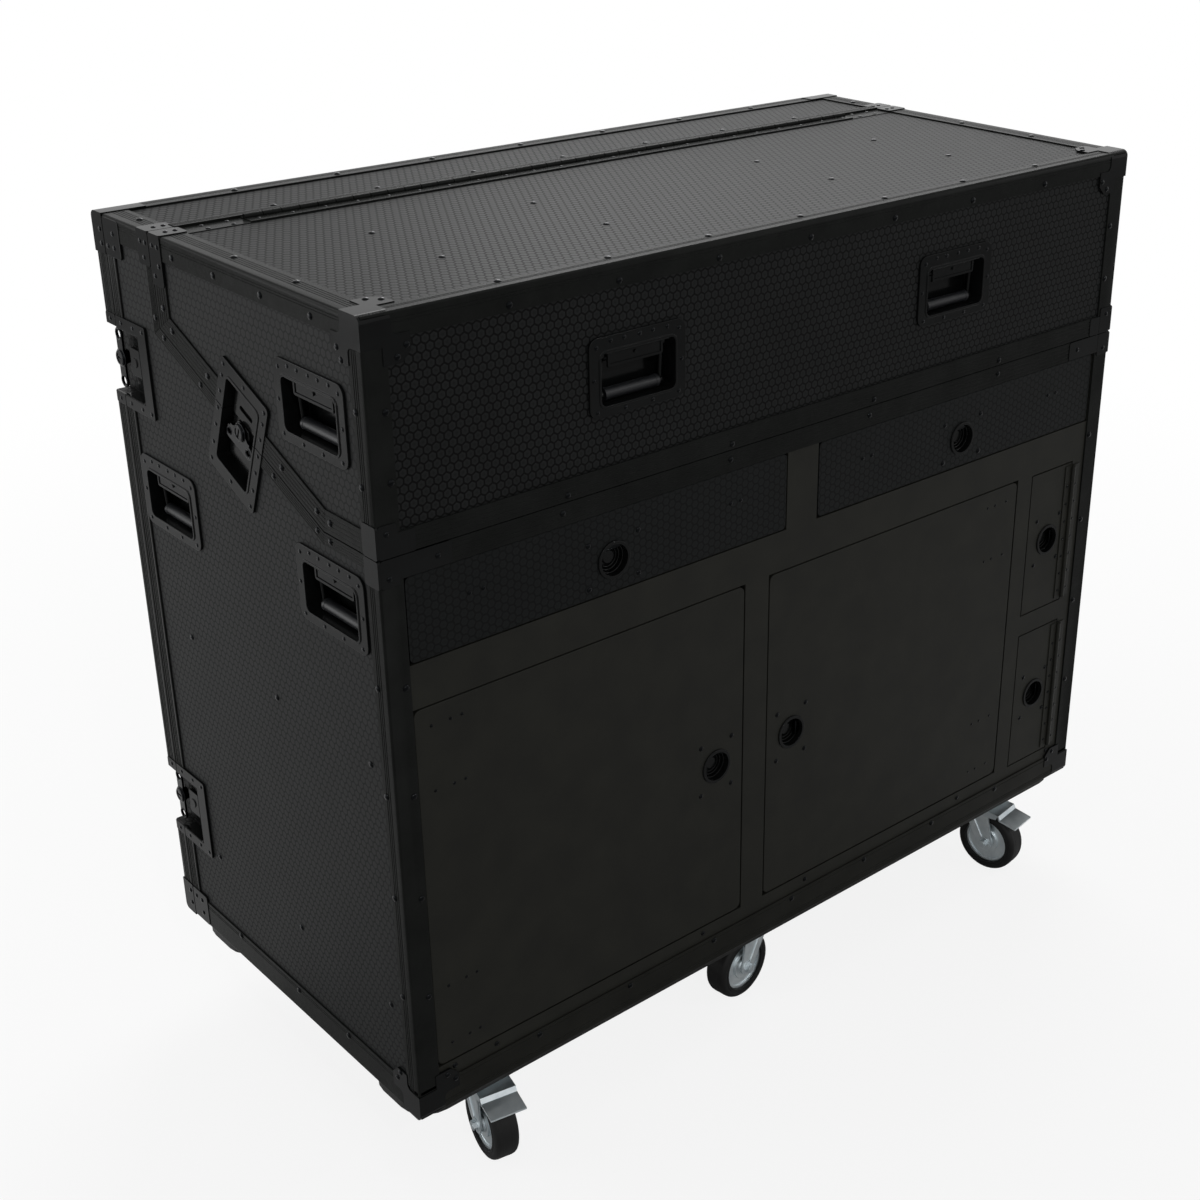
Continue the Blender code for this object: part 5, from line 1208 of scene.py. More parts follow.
@dataclass
class TwistWing:
    """The twist piece of a butterfly latch: two finger rings across a turning boss."""

    spread: float
    drop: float
    thick: float = 0.003
    ring_radius: float = 0.0085
    hole: float = 0.0056
    boss: float = 0.011

    def build(self, depth: float) -> Piece:
        """The wing about its own axis, its outer face at Y = 0.

        Args:
            depth: how far its boss reaches in.
        Returns:
            The wing.
        """
        # The outline is joined from deep pieces, no two of one depth, and then cut to the wing's thickness, which
        # leaves one clean face on each side.
        plate = drum("wing", (0, 0, 0), self.boss, 0.024, "Y", 32)
        if self.drop:
            carve(plate, block("web", (-self.spread, -0.011, -self.drop - self.ring_radius),
                               (self.spread, 0.011, -0.002)), operation="UNION")
        for side in (-1, 1):
            end = Vector((side * self.spread, 0, -self.drop))
            loop = drum("loop", end, self.ring_radius, 0.018 + side * 0.001, "Y", 32)
            web = block("web", (0, -0.007 - side * 0.0005, -0.0074), (end.length, 0.007 + side * 0.0005, 0.0074))
            moved(web, Matrix.Rotation(math.atan2(self.drop, side * self.spread), 4, "Y"))
            carve(plate, loop, web, operation="UNION")
        trimmed(plate, (0, 0, 0), (0, -1, 0))
        trimmed(plate, (0, self.thick, 0), (0, 1, 0))
        for side in (-1, 1):
            hole = drum("hole", (side * self.spread, 0, -self.drop), self.hole, 0.05, "Y", 28)
            carve(plate, hole)
        soften(plate, 0.0007, 3, 40)
        boss = soften(drum("boss", (0, depth / 2 + 0.0008, 0), self.boss - 0.002, depth, "Y", 28), 0.0005)
        hub = drum("hub", (0, -0.0012, 0), 0.0104, 0.0032, "Y", 32)
        domed(hub, 0.0022, 4)
        with editing(hub):
            pick(hub, "FACE", lambda face: face.normal.y < -0.99)
            press(0.0016, (0, 0.0008, 0))
        carve(hub, rounded_block("slot", (-0.0011, -0.01, -0.0062), (0.0011, -0.0010, 0.0062), 0.001))
        beads = [ring("bead", (s * self.spread, 0.0004, -self.drop), self.hole + 0.0012, 0.0010, "Y", 28, 8)
                 for s in (-1, 1)]
        collar = ring("collar", (0, 0.0002, 0), 0.0110, 0.0008, "Y", 32, 8)
        return joined("wing", [plate, boss, soften(hub, 0.0003), *beads, collar])


@dataclass
class SlantLatch:
    """The butterfly latch across the sloping parting line, in a deep pressed dish on each side."""

    fasteners: Fasteners
    centre: Pair = SLANT_LATCH_CENTRE
    turn: Pair = (274.0, 787.0)
    plate: Pair = (0.103, 0.152)
    dish: Pair = (0.0696, 0.1166)
    depth: float = 0.0128
    proud: float = 0.0032
    seam: float = 0.013

    def pressed(self) -> Piece:
        """The whole plate and dish about its centre, its long side upright."""
        half, tall = self.plate[0] / 2, self.plate[1] / 2
        wide, high = self.dish[0] / 2, self.dish[1] / 2
        plate = rounded_block("plate", (-half, -self.proud, -tall), (half, SUNK, tall), 0.006)
        rim = rounded_block("rim", (-wide - 0.002, -self.proud - 0.001, -high - 0.002),
                            (wide + 0.002, 0.0002, high + 0.002), 0.008)
        tub = rounded_block("tub", (-wide, -self.proud, -high), (wide, self.depth, high), 0.006)
        carve(plate, rim, tub, operation="UNION")
        carve(plate, rounded_block("hollow", (-wide + 0.001, -0.01, -high + 0.001),
                                   (wide - 0.001, self.depth - 0.001, high - 0.001), 0.005))
        return plate

    def hook(self, lidward: bool) -> Piece:
        """The raised plates in the dish: the keeper with its slot on the lid, the latch body on the base."""
        if lidward:
            keeper = rounded_block("keeper", (-0.0255, 0.0047, self.seam + 0.0006),
                                   (0.0255, self.depth - 0.0005, 0.0535), 0.004)
            carve(keeper, rounded_block("slot", (-0.0135, 0.0, 0.0255), (0.0135, 0.0085, 0.0315), 0.0028))
            return soften(keeper, 0.0007, 3)
        body = rounded_block("body", (-0.026, 0.0070, -0.045), (0.026, self.depth - 0.0005, self.seam - 0.0008), 0.005)
        seat = drum("seat", (0, 0.0062, 0.0024), 0.0148, 0.006, "Y", 40)
        carve(body, seat, operation="UNION")
        trimmed(body, (0, 0, self.seam - 0.0008), (0, 0, 1))
        return soften(body, 0.0008, 3)

    def fit(self, face: Face, side: int, word: str) -> None:
        """One latch, its wing riding on its own body.

        Args:
            face: the side of the case.
            side: -1 on the left and 1 on the right.
            word: left or right.
        """
        tilt = SLOPE * -side
        place = face.frame(face.place(*self.centre), tilt)
        for body, keep in (("lid", 1), ("case", -1)):
            half = self.pressed()
            trimmed(half, (0, 0, self.seam + keep * 0.0006), (0, 0, -keep))
            inside = self.hook(keep > 0)
            whole = moved(joined("half", [soften(half, 0.0004, 2, 40), inside]), place)
            fitted(whole, f"slant_latch_plate_{body}_{word}", body, PRESSED_STEEL)
        wing = TwistWing(0.021, 0.0135, hole=0.0036).build(0.0085)
        moved(wing, face.frame(face.place(*self.turn, 1.0), tilt))
        name = f"slant_latch_{word}"
        fitted(wing, f"{name}_wing", name, RIVET, [name])
        across, along = self.plate[0] * 500 - 7, self.plate[1] * 500 - 8
        rows = [(a, b) for a in (-across, 0, across) for b in (-along, along)]
        rows += [(a, b) for a in (-across, across) for b in (-44, -18, 6, 30, 52)]
        cosine, sine = math.cos(SLOPE), math.sin(SLOPE)
        for body, keep in (("lid", 1), ("case", -1)):
            spots = [(self.centre[0] + a * cosine - b * sine, self.centre[1] + a * sine + b * cosine)
                     for a, b in rows if (b - self.seam * 1000) * keep > 3]
            self.fasteners.add(body, face, spots, 3.1, scale=0.7)

    def build(self) -> None:
        """Makes the latches of both sides."""
        for face, side, word in SIDES:
            self.fit(face, side, word)


@dataclass
class EdgeLatch:
    """The butterfly latches that hold the rear cover, in shallow pans across the rear parting line."""

    fasteners: Fasteners
    seam: float = 555.0
    turn: float = 567.0
    depth: float = 0.0158
    proud: float = 0.0031
    half: float = 0.0428

    def plate(self, side: int, start: float, end: float) -> Piece:
        """The flat plate about the parting line, between two measures in millimetres from the front."""
        low, high = sorted(side * (y - self.seam) / 1000 for y in (start, end))
        return rounded_block("plate", (low, -self.proud, -0.0575), (high, SUNK, 0.0575), 0.003)

    def pan(self, side: int) -> Piece:
        """The case's plate with its pan, its hook and the hook's eye."""
        pan = self.plate(side, 479.0, BACK_PARTING + 0.1)
        start, end = (side * (y - self.seam) / 1000 for y in (500.0, BACK_PARTING + 0.1))
        carve(pan, block("tub", (start, -self.proud, -self.half), (end, self.depth, self.half)), operation="UNION")
        low, high = sorted((side * -0.054, side * 0.01))
        carve(pan, rounded_block("hollow", (low, -0.01, 0.001 - self.half),
                                 (high, self.depth - 0.001, self.half - 0.001), 0.005))
        low, high = sorted((side * -0.048, side * -0.008))
        hook = rounded_block("hook", (low, 0.0060, -0.0175), (high, 0.0110, 0.0175), 0.003)
        carve(hook, drum("eye", (side * -0.020, 0.0085, 0), 0.0062, 0.0075, "Y", 24), operation="UNION")
        return joined("pan", [soften(pan, 0.0006, 2, 40), soften(hook, 0.0007, 3)])

    def fit(self, face: Face, side: int, word: str, level: str, height: float) -> None:
        """One latch.

        Args:
            face: the side of the case.
            side: -1 on the left and 1 on the right.
            word: left or right.
            level: upper or lower.
            height: the height of its middle in millimetres.
        """
        pan, strike = self.pan(side), self.plate(side, 555.6, 580.0)
        carve(strike, block("hollow", (-0.05, -0.01, -self.half), (0.05, 0.01, self.half)))
        for body, plate in (("case", pan), ("rear_cover", soften(strike, 0.0006, 2, 40))):
            moved(plate, face.frame(face.place(self.seam, height)))
            fitted(plate, f"edge_latch_plate_{body}_{level}_{word}", body, PRESSED_STEEL)
        wing = TwistWing(0.0295, 0.0).build(0.008)
        moved(wing, face.frame(face.place(self.turn, height, 3.5), math.pi / 2))
        name = f"edge_latch_{level}_{word}"
        fitted(wing, f"{name}_wing", name, RIVET, [name])
        for body, places in (("case", (486.5, 510, 540)), ("rear_cover", (568,))):
            self.fasteners.add(body, face, [(y, height + z) for y in places for z in (-50.5, 50.5)], 3.0, scale=0.7)

    def build(self) -> None:
        """Makes the four latches."""
        for face, side, word in SIDES:
            for level, height in zip(("upper", "lower"), EDGE_LATCH_HEIGHTS):
                self.fit(face, side, word, level, height)


# round latches

@dataclass
class RoundLatch:
    """A flush round latch: rolled rim, stepped cup and a hinged half-moon flap."""

    fasteners: Fasteners
    cup: float = 0.0203
    rim: float = 0.0236
    depth: float = 0.0148
    recess: float = 0.004
    flap_half: float = 0.0108
    flap_edge: float = 0.0115

    def housing(self) -> Piece:
        """The rim and the cup about the latch's centre."""
        rim = drum("rim", (0, -0.0008, 0), self.rim, 0.0026, "Y", 48)
        domed(rim, 0.0012, 4)
        cup = drum("cup", (0, self.depth / 2, 0), self.cup, self.depth, "Y", 48)
        carve(rim, cup, operation="UNION")
        carve(rim, drum("hollow", (0, 0.0022, 0), self.cup - 0.0010, 0.0230, "Y", 48))
        soften(rim, 0.0003, 2, 50)
        steps = [ring("step", (0, y, 0), r, 0.0011, "Y", 40, 8)
                 for r, y in ((0.0186, 0.0075), (0.0160, 0.0115), (0.0125, 0.0128))]
        hub = drum("hub", (0, 0.0117, 0), 0.0085, 0.0034, "Y", 32)
        domed(hub, 0.0012, 3)
        return joined("housing", [rim, *steps, soften(hub, 0.0004)])

    def flap(self) -> Piece:
        """The flap about the latch's centre, hinged at the top."""
        radius = self.cup - 0.0009
        disc = drum("flap", (0, 0.00125, 0), radius, 0.0025, "Y", 48)
        carve(disc, block("low", (-0.05, -0.05, -0.05), (0.05, 0.05, self.flap_edge)))
        for side in (-1, 1):
            carve(disc, block("side", (side * self.flap_half, -0.05, -0.05), (side * 0.05, 0.05, 0.05)))
        soften(disc, 0.0004, 2, 40)
        lip = drum("lip", (0, 0.0007, self.flap_edge + 0.0009), 0.0010, 2 * self.flap_half - 0.001, "X", 12)
        return joined("flap", [disc, soften(lip, 0.0002)])

    def build(self, spots: Sequence[tuple[str, str, Pair, float, Pair]]) -> None:
        """Makes every round latch.

        Args:
            spots: for each latch its name, its body, its centre, its turn in degrees and where its screws are.
        """
        housing, flap = self.housing(), self.flap()
        for name, body, centre, turn, screws in spots:
            place = Face.FRONT.frame(Face.FRONT.place(*centre), math.radians(turn))
            fitted(copied(housing, "housing", place), f"{name}_housing", body, PRESSED_STEEL)
            inner = place @ Matrix.Translation((0, self.recess, 0))
            fitted(copied(flap, "flap", inner), f"{name}_flap", name, RIVET, [name])
            rows = [(centre[0] + a * screws[0], centre[1] + b * screws[1]) for a in (-1, 1) for b in (-1, 1)]
            self.fasteners.add(body, Face.FRONT, rows, 0.0, Head.SCREW, 0.85)
        shelved(housing, flap)


# nodes of the CAD, refined

def plain_case() -> Piece:
    """The case as one block with softly rounded edges, to shave trim off a board."""
    core = block("plain_case", at(0.02, 0.02, -0.4), at(1219.98, 579.98, 978.98))
    return round_edges(core, 0.004, 3, lambda edge: True)


def refined(name: str, width: float = 0.0008, segments: int = 2, corner: float = 0.0,
            shaved: bool = False) -> Piece:
    """A copy of a CAD node's mesh, merged, cleaned and with its edges broken.

    Args:
        name: the CAD node.
        width: how wide the edge break is.
        segments: how many steps it has.
        corner: the radius of the front panel's four corners, where they are rounded.
        shaved: whether what stands proud of the boards is taken off, because real trim goes there.
    Returns:
        The copy.
    """
    source = frame["nodes"][name]
    twin = source.copy()
    twin.data = source.data.copy()
    twin.parent = None
    twin.matrix_world = source.matrix_world
    bpy.context.scene.collection.objects.link(twin)
    for key in [key for key in twin.keys() if key.startswith("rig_")]:
        del twin[key]
    moved(twin, source.matrix_world.copy())
    with editing(twin):
        bpy.ops.mesh.select_all(action="SELECT")
        bpy.ops.mesh.remove_doubles(threshold=1e-6)
        bpy.ops.mesh.dissolve_limited(angle_limit=math.radians(0.5))
    if corner:
        low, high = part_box(name)
        along = runs_along(1)
        round_edges(twin, corner, 5, lambda e: along(e) and all(
            min(abs(middle_of(e)[k] - low[k]), abs(middle_of(e)[k] - high[k])) < 1e-4 for k in (0, 2)))
    if shaved:
        carve(twin, plain_case(), operation="INTERSECT")
        activate(twin)
        bpy.ops.object.shade_flat()
        return twin
    return soften(twin, width, segments, 30)


def relined(obj: Piece, finish: Finish, test: Callable) -> Piece:
    """Gives the faces that pass a test one more finish."""
    obj.data.materials.append(material(finish))
    for face in obj.data.polygons:
        if test(face.center):
            face.material_index = len(obj.data.materials) - 1
    return obj


@dataclass
class Fronts:
    """Drawers, doors and small doors: their fronts with broken edges, hinges and screws."""

    fasteners: Fasteners

    def drawers(self) -> None:
        """The drawers: honeycomb fronts over painted ply boxes."""
        for word in ("left", "right"):
            name = f"drawer_{word}"
            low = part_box(name)[0]
            obj = refined(name, 0.0012, 3, 0.006)
            fitted(obj, f"{name}_front_and_box", name, DRAWER_FRONT, [name])
            relined(obj, PLY, lambda spot: spot.y > low.y + 0.0118)
        for body, places in (("drawer_left", (109, 127, 489, 505)), ("drawer_right", (718, 735, 1095, 1113))):
            self.fasteners.add(body, Face.FRONT, [(x, 655) for x in places], 0.0, scale=0.7)

    def doors(self) -> None:
        """The doors: plain film over ply, with hinge screws."""
        for name in ("door_left", "door_right", "door_small_upper", "door_small_lower"):
            obj = refined(name, 0.0010, 3, 0.009 if "small" not in name else 0.0)
            fitted(obj, f"{name}_leaf", name, DOOR_FRONT, [name])
        for name, places in (("door_left", (50, 75, 90)), ("door_right", (1020, 996, 980))):
            rows = [(x, z) for x in places for z in (432, 514, 86, 168)]
            self.fasteners.add(name, Face.FRONT, rows, 0.0, Head.SCREW, 0.5)

    def small_hinges(self) -> None:
        """The surface hinges of the small doors: knuckles on the door, a leaf on the frame."""
        for name in ("door_small_upper", "door_small_lower"):
            low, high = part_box(name)
            axis = Vector((high.x - 0.003, low.y + 0.003, 0))
            start, end = low.z + 0.0045, high.z - 0.0045
            count, gap = 9, 0.0008
            step = (end - start) / count
            barrels = [soften(drum("knuckle", (axis.x, axis.y, start + step * (k + 0.5)), 0.0034, step - gap, "Z", 18),
                              0.0004) for k in range(count)]
            across, foot = (axis.x + WIDTH / 2) * 1000, (start - UNDERSIDE) * 1000 + 12
            for body, aside, lift in ((name, -9.0, 1.6), ("case", 9.5, 1.4)):
                rows = [(across + aside, foot + 28 * k) for k in range(7)]
                self.fasteners.add(body, Face.FRONT, rows, lift, scale=0.55)
            fitted(joined("knuckles", barrels[1::2]), f"{name}_knuckles", name, HINGE)
            leaf = rounded_block("leaf", (axis.x - 0.001, axis.y + 0.0016, start),
                                 (axis.x + 0.0155, axis.y + 0.0032, end), 0.0015)
            leaf = joined("leaf", [soften(leaf, 0.0004), *barrels[::2]])
            fitted(leaf, f"{name}_frame_leaf", "case", HINGE)

    def build(self) -> None:
        """Makes all the fronts."""
        self.drawers()
        self.doors()
        self.small_hinges()


@dataclass
class PianoHinge:
    """The long hinge across the top, with its leaves, alternating knuckles and the strips beside it."""

    fasteners: Fasteners
    start: float = 112.0
    end: float = 1108.0
    axis: Pair = (428.5, 982.7)
    radius: float = 0.0036
    count: int = 41

    def build(self) -> None:
        """Makes both leaves and the strips that they lie on."""
        step = (self.end - self.start) / self.count
        knuckles = {"lid": [], "case": []}
        for k in range(self.count):
            x = self.start + step * (k + 0.5)
            part = drum("knuckle", at(x, *self.axis), self.radius, (step - 1.0) / 1000, "X", 18)
            with editing(part):
                pick(part, "FACE", lambda face: abs(face.normal.x) > 0.9)
                bpy.ops.mesh.inset(thickness=0.0009, depth=0)
            knuckles["case" if k % 2 else "lid"].append(soften(part, 0.0003))
        leaf = block("leaf", at(self.start, 409.5, 979.9), at(self.end, 427.6, 981.4))
        tail = block("leaf", at(self.start, 430.6, 979.9), at(self.end, 436.4, 981.4))
        for body, part, node_name in (("lid", leaf, "lid_hinge_leaf"), ("case", tail, "rear_hinge_leaf")):
            whole = joined("leaf", [soften(part, 0.0004), *knuckles[body]])
            fitted(whole, f"top_hinge_leaf_{body}", body, EXTRUSION, [node_name])
        strip = block("strip", at(30, 409, 978.9), at(1190, 436.4, 980.0))
        fitted(soften(strip, 0.0004), "lid_back_strip", "lid", EXTRUSION)
        lip = block("lip", at(30, 437.3, 979.0), at(1190, 452.2, 983.1))
        scored(lip, 1, [at(0, y, 0).y for y in (441.5, 445.0, 448.5)], 0.0013, (0, 0, 1), 0.0007)
        fitted(soften(lip, 0.0005), "rear_top_lip", "case", EXTRUSION)
        rows = [(self.start + 14 + 44.0 * k, 417.5) for k in range(23)]
        self.fasteners.add("lid", Face.TOP, rows, 2.3, scale=0.6)
        self.fasteners.add("lid", Face.TOP, [(x, y) for x in (60, 92, 1128, 1160) for y in (415, 431)], 1.0, scale=0.7)


# casters

@dataclass
class Casters:
    """Six swivel casters: mounting plates with bolts, ball races, forks, wheels and brake pedals."""

    front_headings: Triple = (-101.0, 187.0, -81.0)
    rear_headings: Triple = (-97.0, -107.0, -84.0)
    spots_x: Triple = (130.0, 610.0, 1090.0)
    front_y: float = 73.0
    rear_y: float = 494.0
    wheel: float = 0.050
    half_width: float = 0.017
    axle: Triple = (0.0, 0.037, 0.050)
    race_top: float = 0.1232
    plate_top: float = 0.1280

    def tyre(self) -> Piece:
        """The tyre with its rounded tread and moulded side ring, about its centre along X."""
        tyre = drum("tyre", (0, 0, 0), self.wheel, 2 * self.half_width, "X", 48)
        round_edges(tyre, 0.0075, 5, lambda e: abs(abs(middle_of(e).x) - self.half_width) < 1e-5)
        carve(tyre, drum("bore", (0, 0, 0), 0.0362, 0.1, "X", 48))
        soften(tyre, 0.0008, 2, 35)
        beads = [ring("bead", (s * (self.half_width - 0.0002), 0, 0), 0.0400, 0.0008, "X", 48, 6) for s in (-1, 1)]
        lines = [ring("line", (s * 0.006, 0, 0), self.wheel - 0.0002, 0.0004, "X", 48, 6) for s in (-1, 1)]
        return joined("tyre", [tyre, *beads, *lines])

    def hub(self) -> Piece:
        """The pressed hub with its dished discs and axle boss, about its centre along X."""
        parts = [drum("core", (0, 0, 0), 0.0364, 2 * self.half_width - 0.012, "X", 48)]
        soften(parts[0], 0.0006)
        for side in (-1, 1):
            disc = drum("disc", (side * (self.half_width - 0.0050), 0, 0), 0.0361, 0.0030, "X", 48)
            with editing(disc):
                pick(disc, "FACE", lambda face: face.normal.x * side > 0.9)
                press(0.0045, (side * -0.0022, 0, 0))
                press(0.0120, (side * 0.0034, 0, 0))
                bpy.ops.mesh.inset(thickness=0.0035, depth=0)
            parts.append(soften(disc, 0.0006, 2, 30))
            boss = drum("boss", (side * (self.half_width - 0.0035), 0, 0), 0.0122, 0.0075, "X", 32)
            parts.append(soften(boss, 0.0008))
        return joined("hub", parts)

    def race(self) -> Piece:
        """The swivel's ball race, about the top of the fork at Z = 0."""
        upper = drum("race", (0, 0, -0.0012), 0.0350, 0.0024, "Z", 48)
        soften(upper, 0.0009, 3)
        return joined("race", [upper, ring("bead", (0, 0, -0.0036), 0.0335, 0.0013, "Z", 48, 8)])

    def plate(self) -> Piece:
        """The mounting plate with its four bolts, about the middle of its upper face."""
        plate = rounded_block("plate", (-0.0522, -0.0422, -0.0054), (0.0522, 0.0422, 0.0004), 0.008, axis=2)
        parts = [soften(plate, 0.0008, 3)]
        for x in (-0.0405, 0.0405):
            for y in (-0.0305, 0.0305):
                washer = drum("washer", (x, y, -0.0060), 0.0082, 0.0014, "Z", 28)
                bolt = drum("bolt", (x, y, -0.0090), 0.0062, 0.0050, "Z", 6)
                parts += [soften(washer, 0.0004), soften(bolt, 0.0006)]
        return joined("plate", parts)

    def crown(self) -> Piece:
        """The raised ribs and kingpin nut of the fork, about its swivel axis on the ground."""
        nut = drum("nut", (0, 0, 0.1076), 0.0085, 0.0050, "Z", 6)
        parts = [soften(nut, 0.0005)]
        for side in (-1, 1):
            rib = rounded_block("rib", (-0.0010, -0.0055, 0), (0.0010, 0.0055, 0.046), 0.004, axis=0)
            lean = math.atan2(0.030, 0.052)
            moved(rib, Matrix.Translation((side * 0.0221, 0.030, 0.055)) @ Matrix.Rotation(lean, 4, "X"))
            parts.append(soften(rib, 0.0006, 3))
            cap = drum("cap", (side * 0.0262, 0.037, 0.050), 0.0046, 0.0040, "X", 16)
            parts.append(soften(cap, 0.0006))
            washer = drum("washer", (side * 0.0220, 0.037, 0.050), 0.0098, 0.0014, "X", 28)
            parts.append(soften(washer, 0.0004))
        return joined("crown", parts)

    def build(self) -> None:
        """Makes and places the six casters."""
        patterns = tyre, hub, race, plate, crown = self.tyre(), self.hub(), self.race(), self.plate(), self.crown()
        rows = (("front", self.front_y, self.front_headings), ("rear", self.rear_y, self.rear_headings))
        for row, y, headings in rows:
            for x, word, heading in zip(self.spots_x, ("left", "middle", "right"), headings):
                name = f"{row}_{word}"
                wheel, fork, pedal = (f"{kind}_{name}" for kind in ("caster_wheel", "caster_fork", "brake_pedal"))
                axis = at(x, y, 0)
                stand = Matrix.Translation((axis.x, axis.y, 0)) @ Matrix.Rotation(math.radians(heading - 90), 4, "Z")
                centre = stand @ Matrix.Translation(self.axle)
                for pattern, place, label, body, finish, nodes in (
                    (tyre, centre, "tyre", wheel, TYRE, [wheel]),
                    (hub, centre, "hub", wheel, ZINC, []),
                    (race, Matrix.Translation((axis.x, axis.y, self.race_top)), "race", "case", ZINC, []),
                    (plate, Matrix.Translation((axis.x, axis.y, self.plate_top)), "plate", "case", ZINC, []),
                ):
                    fitted(copied(pattern, label, place), f"caster_{label}_{name}", body, finish, nodes)
                shell = joined("fork", [refined(fork, 0.0006), copied(crown, "crown", stand)])
                fitted(shell, f"caster_yoke_{name}", fork, ZINC, [fork])
                if row == "front" and word != "middle":
                    fitted(refined(pedal, 0.0006), f"brake_tread_{name}", pedal, ZINC, [pedal])
        shelved(*patterns)


# materials of the CAD nodes, studio

@dataclass
class Carcass:
    """Boards and frames whose CAD shapes are right, and which take their real finishes."""

    finishes: dict = field(default_factory=lambda: {
        "side_panel": CARCASS, "face_frame": DOOR_FRONT, "rear_top_panel": CARCASS, "lid_shell": CARCASS,
        "rear_cover": CARCASS, "worktop_deck": CARCASS, "bottom_panel": PLY, "drawer_shelf": PLY,
        "centre_divider": PLY, "bay_divider": PLY, "caster_board": PLY, "rack_frame": ZINC_SHEET,
        "drawer_runner": ZINC_SHEET, "door": DOOR_FRONT, "drawer": DRAWER_FRONT, "grip": GRIP,
        "caster_wheel": TYRE, "caster_fork": ZINC, "brake_pedal": ZINC,
    })

    def dress(self) -> None:
        """Puts a procedural finish in every material slot of the CAD nodes."""
        for name, obj in frame["nodes"].items():
            keys = [key for key in self.finishes if name.startswith(key)]
            finish = self.finishes[max(keys, key=len)] if keys else PRESSED_STEEL
            for slot in obj.material_slots:
                slot.material = material(finish)
            log.info("%s takes %s", name, finish.name)

    def boards(self) -> None:
        """The outer boards without the plain trim of the CAD, laminate outside and painted ply inside."""
        inner, back_board = 0.0085, 552
        low, high = at(0, 0, 0), at(1000 * WIDTH, 1000 * DEPTH, 1000 * HEIGHT)
        for name in ("lid_shell", "side_panel_left", "side_panel_right", "face_frame", "rear_cover", "rear_top_panel"):
            board = refined(name, shaved=True)
            # The side boards take the copy of the film with lighter painted groove shade; the face frame takes the door
            # film.
            finish = DOOR_FRONT if name == "face_frame" else SIDE_FILM_LIGHTER_SHADE if "side" in name else CARCASS
            fitted(board, f"{name}_board", frame["nodes"][name]["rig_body"], finish, [name])
            relined(board, PLY, lambda spot: all(
                low[k] + inner < spot[k] < high[k] - inner for k in range(3)) and spot.y < at(0, back_board, 0).y)
            if name == "lid_shell":
                # The lid's ends take the same copy of the film with lighter painted groove shade.
                relined(board, SIDE_FILM_LIGHTER_SHADE, lambda spot: min(spot.x - low.x, high.x - spot.x) < 0.0005)


@dataclass
class Studio:
    """Floor, lamps, world and camera."""

    lens: float = 53.722
    shift: Pair = (-0.0968, -0.0238)
    eye: Triple = (-1.4737, -1.738327, 1.6215)
    turn: Triple = (-42.3587, 65.4036, 0.4501)
    ambient: float = 0.22

    def floor(self) -> None:
        """A pale floor that runs out to white."""
        floor = primitive("studio_floor", bpy.ops.mesh.primitive_plane_add, size=60, location=(0, 0, -0.0004))
        floor.data.materials.append(StudioFloor().make())

    def world(self) -> None:
        """White for the eye and for mirrors, and a soft grey that lights the case."""
        world = bpy.data.worlds.new("studio_world")
        world.use_nodes = True
        tree = world.node_tree
        background = tree.nodes["Background"]
        seen = eye_or_mirror(tree)[1]
        strength = node(tree, "Math", {0: seen, 1: 1.0 - self.ambient, 2: self.ambient}, operation="MULTIPLY_ADD")
        background.inputs["Color"].default_value = (1, 1, 1, 1)
        tree.links.new(strength, background.inputs["Strength"])
        bpy.context.scene.world = world

    def lamp(self, name: str, spot: Sequence[float], target: Sequence[float], size: Pair,
             level: float) -> None:
        """A softbox.

        Args:
            name: the lamp's name.
            spot: where it stands.
            target: what it looks at.
            size: its width and height.
            level: how bright its face is, where 1 is white.
        """
        way = Vector(target) - Vector(spot)
        bpy.ops.object.light_add(type="AREA", location=spot, rotation=way.to_track_quat("-Z", "Y").to_euler())
        lamp = bpy.context.active_object
        lamp.name = name
        lamp.data.shape = "RECTANGLE"
        lamp.data.size, lamp.data.size_y = size
        lamp.data.energy = level * math.pi * size[0] * size[1]

    def camera(self) -> None:
        """The camera at the photograph's angle."""
        bpy.ops.object.camera_add()
        camera = bpy.context.active_object
        camera.name = "photo_camera"
        heading, tip, roll = (math.radians(angle) for angle in self.turn)
        turn = Matrix.Rotation(heading, 4, "Z") @ Matrix.Rotation(tip, 4, "X") @ Matrix.Rotation(roll, 4, "Z")
        camera.matrix_world = Matrix.Translation(self.eye) @ turn
        camera.data.sensor_width = 36
        camera.data.lens = self.lens
        camera.data.shift_x, camera.data.shift_y = self.shift
        bpy.context.scene.camera = camera

    def build(self) -> None:
        """Sets up everything round the case."""
        self.floor()
        self.world()
        for lamp in LAMPS:
            self.lamp(*lamp)
        self.camera()
        bpy.context.scene.view_settings.view_transform = "Standard"


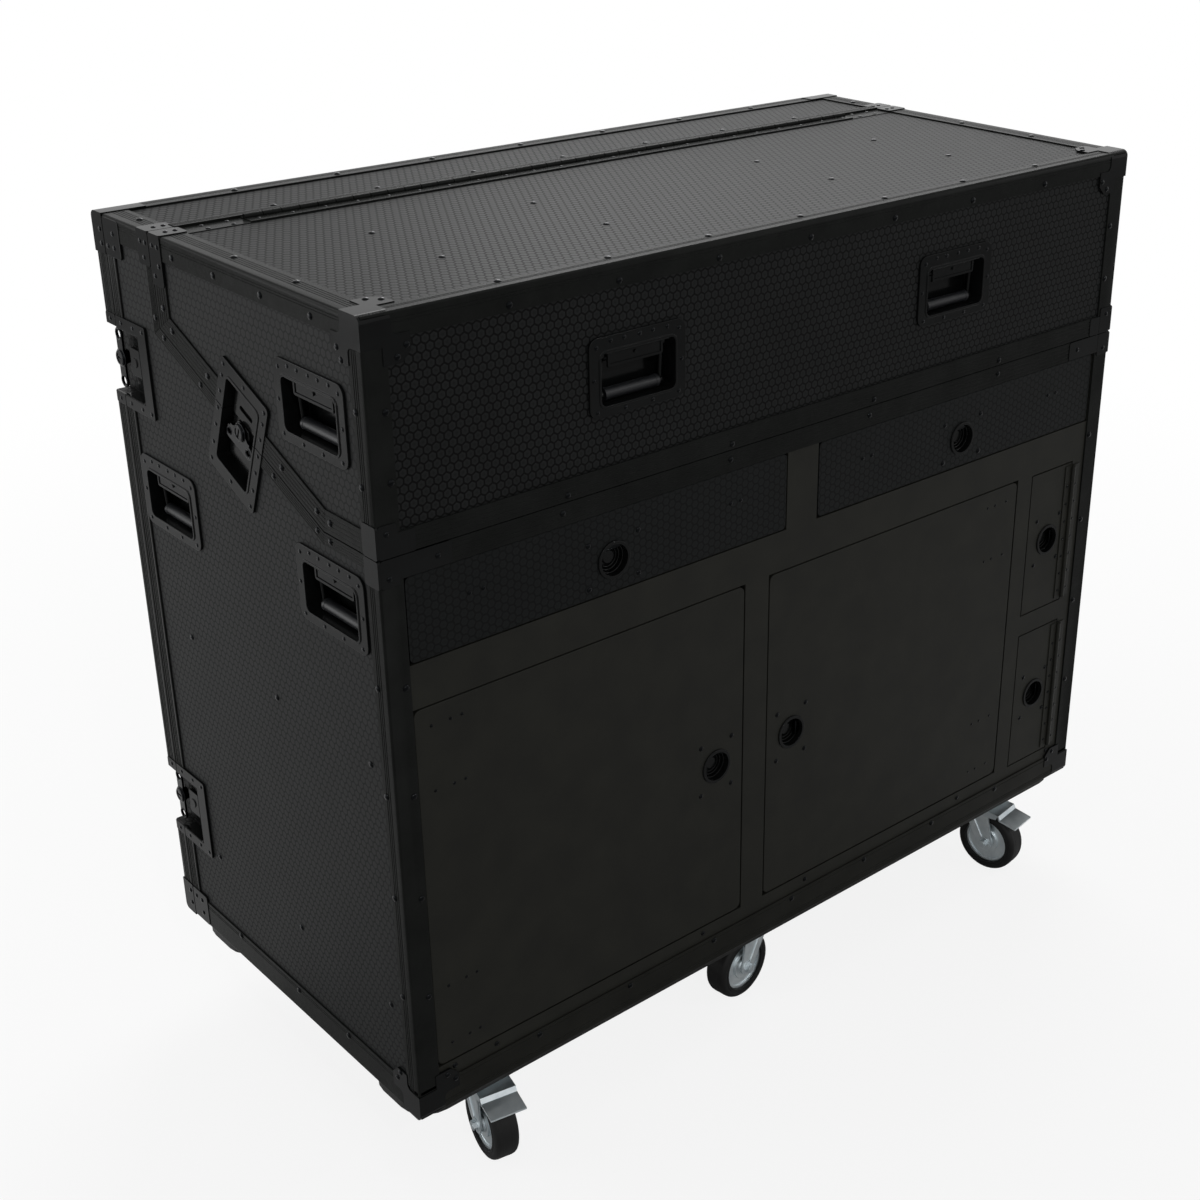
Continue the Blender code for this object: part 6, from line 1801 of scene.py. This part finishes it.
# Name, place, target, size and level of each lamp
LAMPS = (
    ("softbox_behind", (2.1, 1.7, 3.2), (0.2, 0.1, 1.1), (2.4, 1.6), 5.2),
    ("softbox_above", (-0.3, 0.2, 3.4), (0.0, 0.0, 0.8), (2.4, 2.4), 1.2),
    ("softbox_left", (-3.0, 1.8, 1.0), (-0.6, 0.0, 0.5), (2.2, 1.8), 3.0),
    ("softbox_front", (0.4, -3.6, 2.0), (0.1, -0.3, 0.6), (1.6, 1.6), 0.5),
    ("strip_right", (2.7, -3.0, 1.9), (0.0, -0.3, 0.8), (0.5, 1.3), 2.2),
    ("small_lamp_left", (-1.5, -2.9, 2.7), (0.0, -0.3, 0.7), (0.12, 0.12), 300.0),
    ("small_lamp_right", (1.9, -2.9, 2.7), (0.0, -0.3, 0.7), (0.12, 0.12), 130.0),
)

# Name, body, centre, turn and the reach to its screws of each round latch
ROUND_LATCHES = (
    ("latch_drawer_left", "drawer_left", (307.4, 635.0), 0.0, (36.5, 27.0)),
    ("latch_drawer_right", "drawer_right", (912.6, 635.0), 0.0, (36.5, 27.0)),
    ("latch_door_left", "door_left", (468.5, 298.5), -90.0, (26.0, 35.0)),
    ("latch_door_right", "door_right", (601.5, 298.5), 90.0, (26.0, 35.0)),
    ("latch_door_small_upper", "door_small_upper", (1122.0, 426.0), 90.0, (26.0, 35.0)),
    ("latch_door_small_lower", "door_small_lower", (1122.0, 170.4), 90.0, (26.0, 35.0)),
)


def main() -> None:
    """Builds the case's pieces in order, then the studio."""
    logging.basicConfig(level=logging.INFO, format="%(name)s: %(message)s")
    bpy.ops.object.select_all(action="DESELECT")
    carcass = Carcass()
    carcass.dress()
    carcass.boards()
    fasteners = Fasteners()
    EdgeTrim(fasteners).build()
    RecessedHandle().build(fasteners)
    SlantLatch(fasteners).build()
    EdgeLatch(fasteners).build()
    RoundLatch(fasteners).build(ROUND_LATCHES)
    PianoHinge(fasteners).build()
    Fronts(fasteners).build()
    Casters().build()
    fasteners.build()
    Studio().build()


if __name__ == "__main__":
    main()
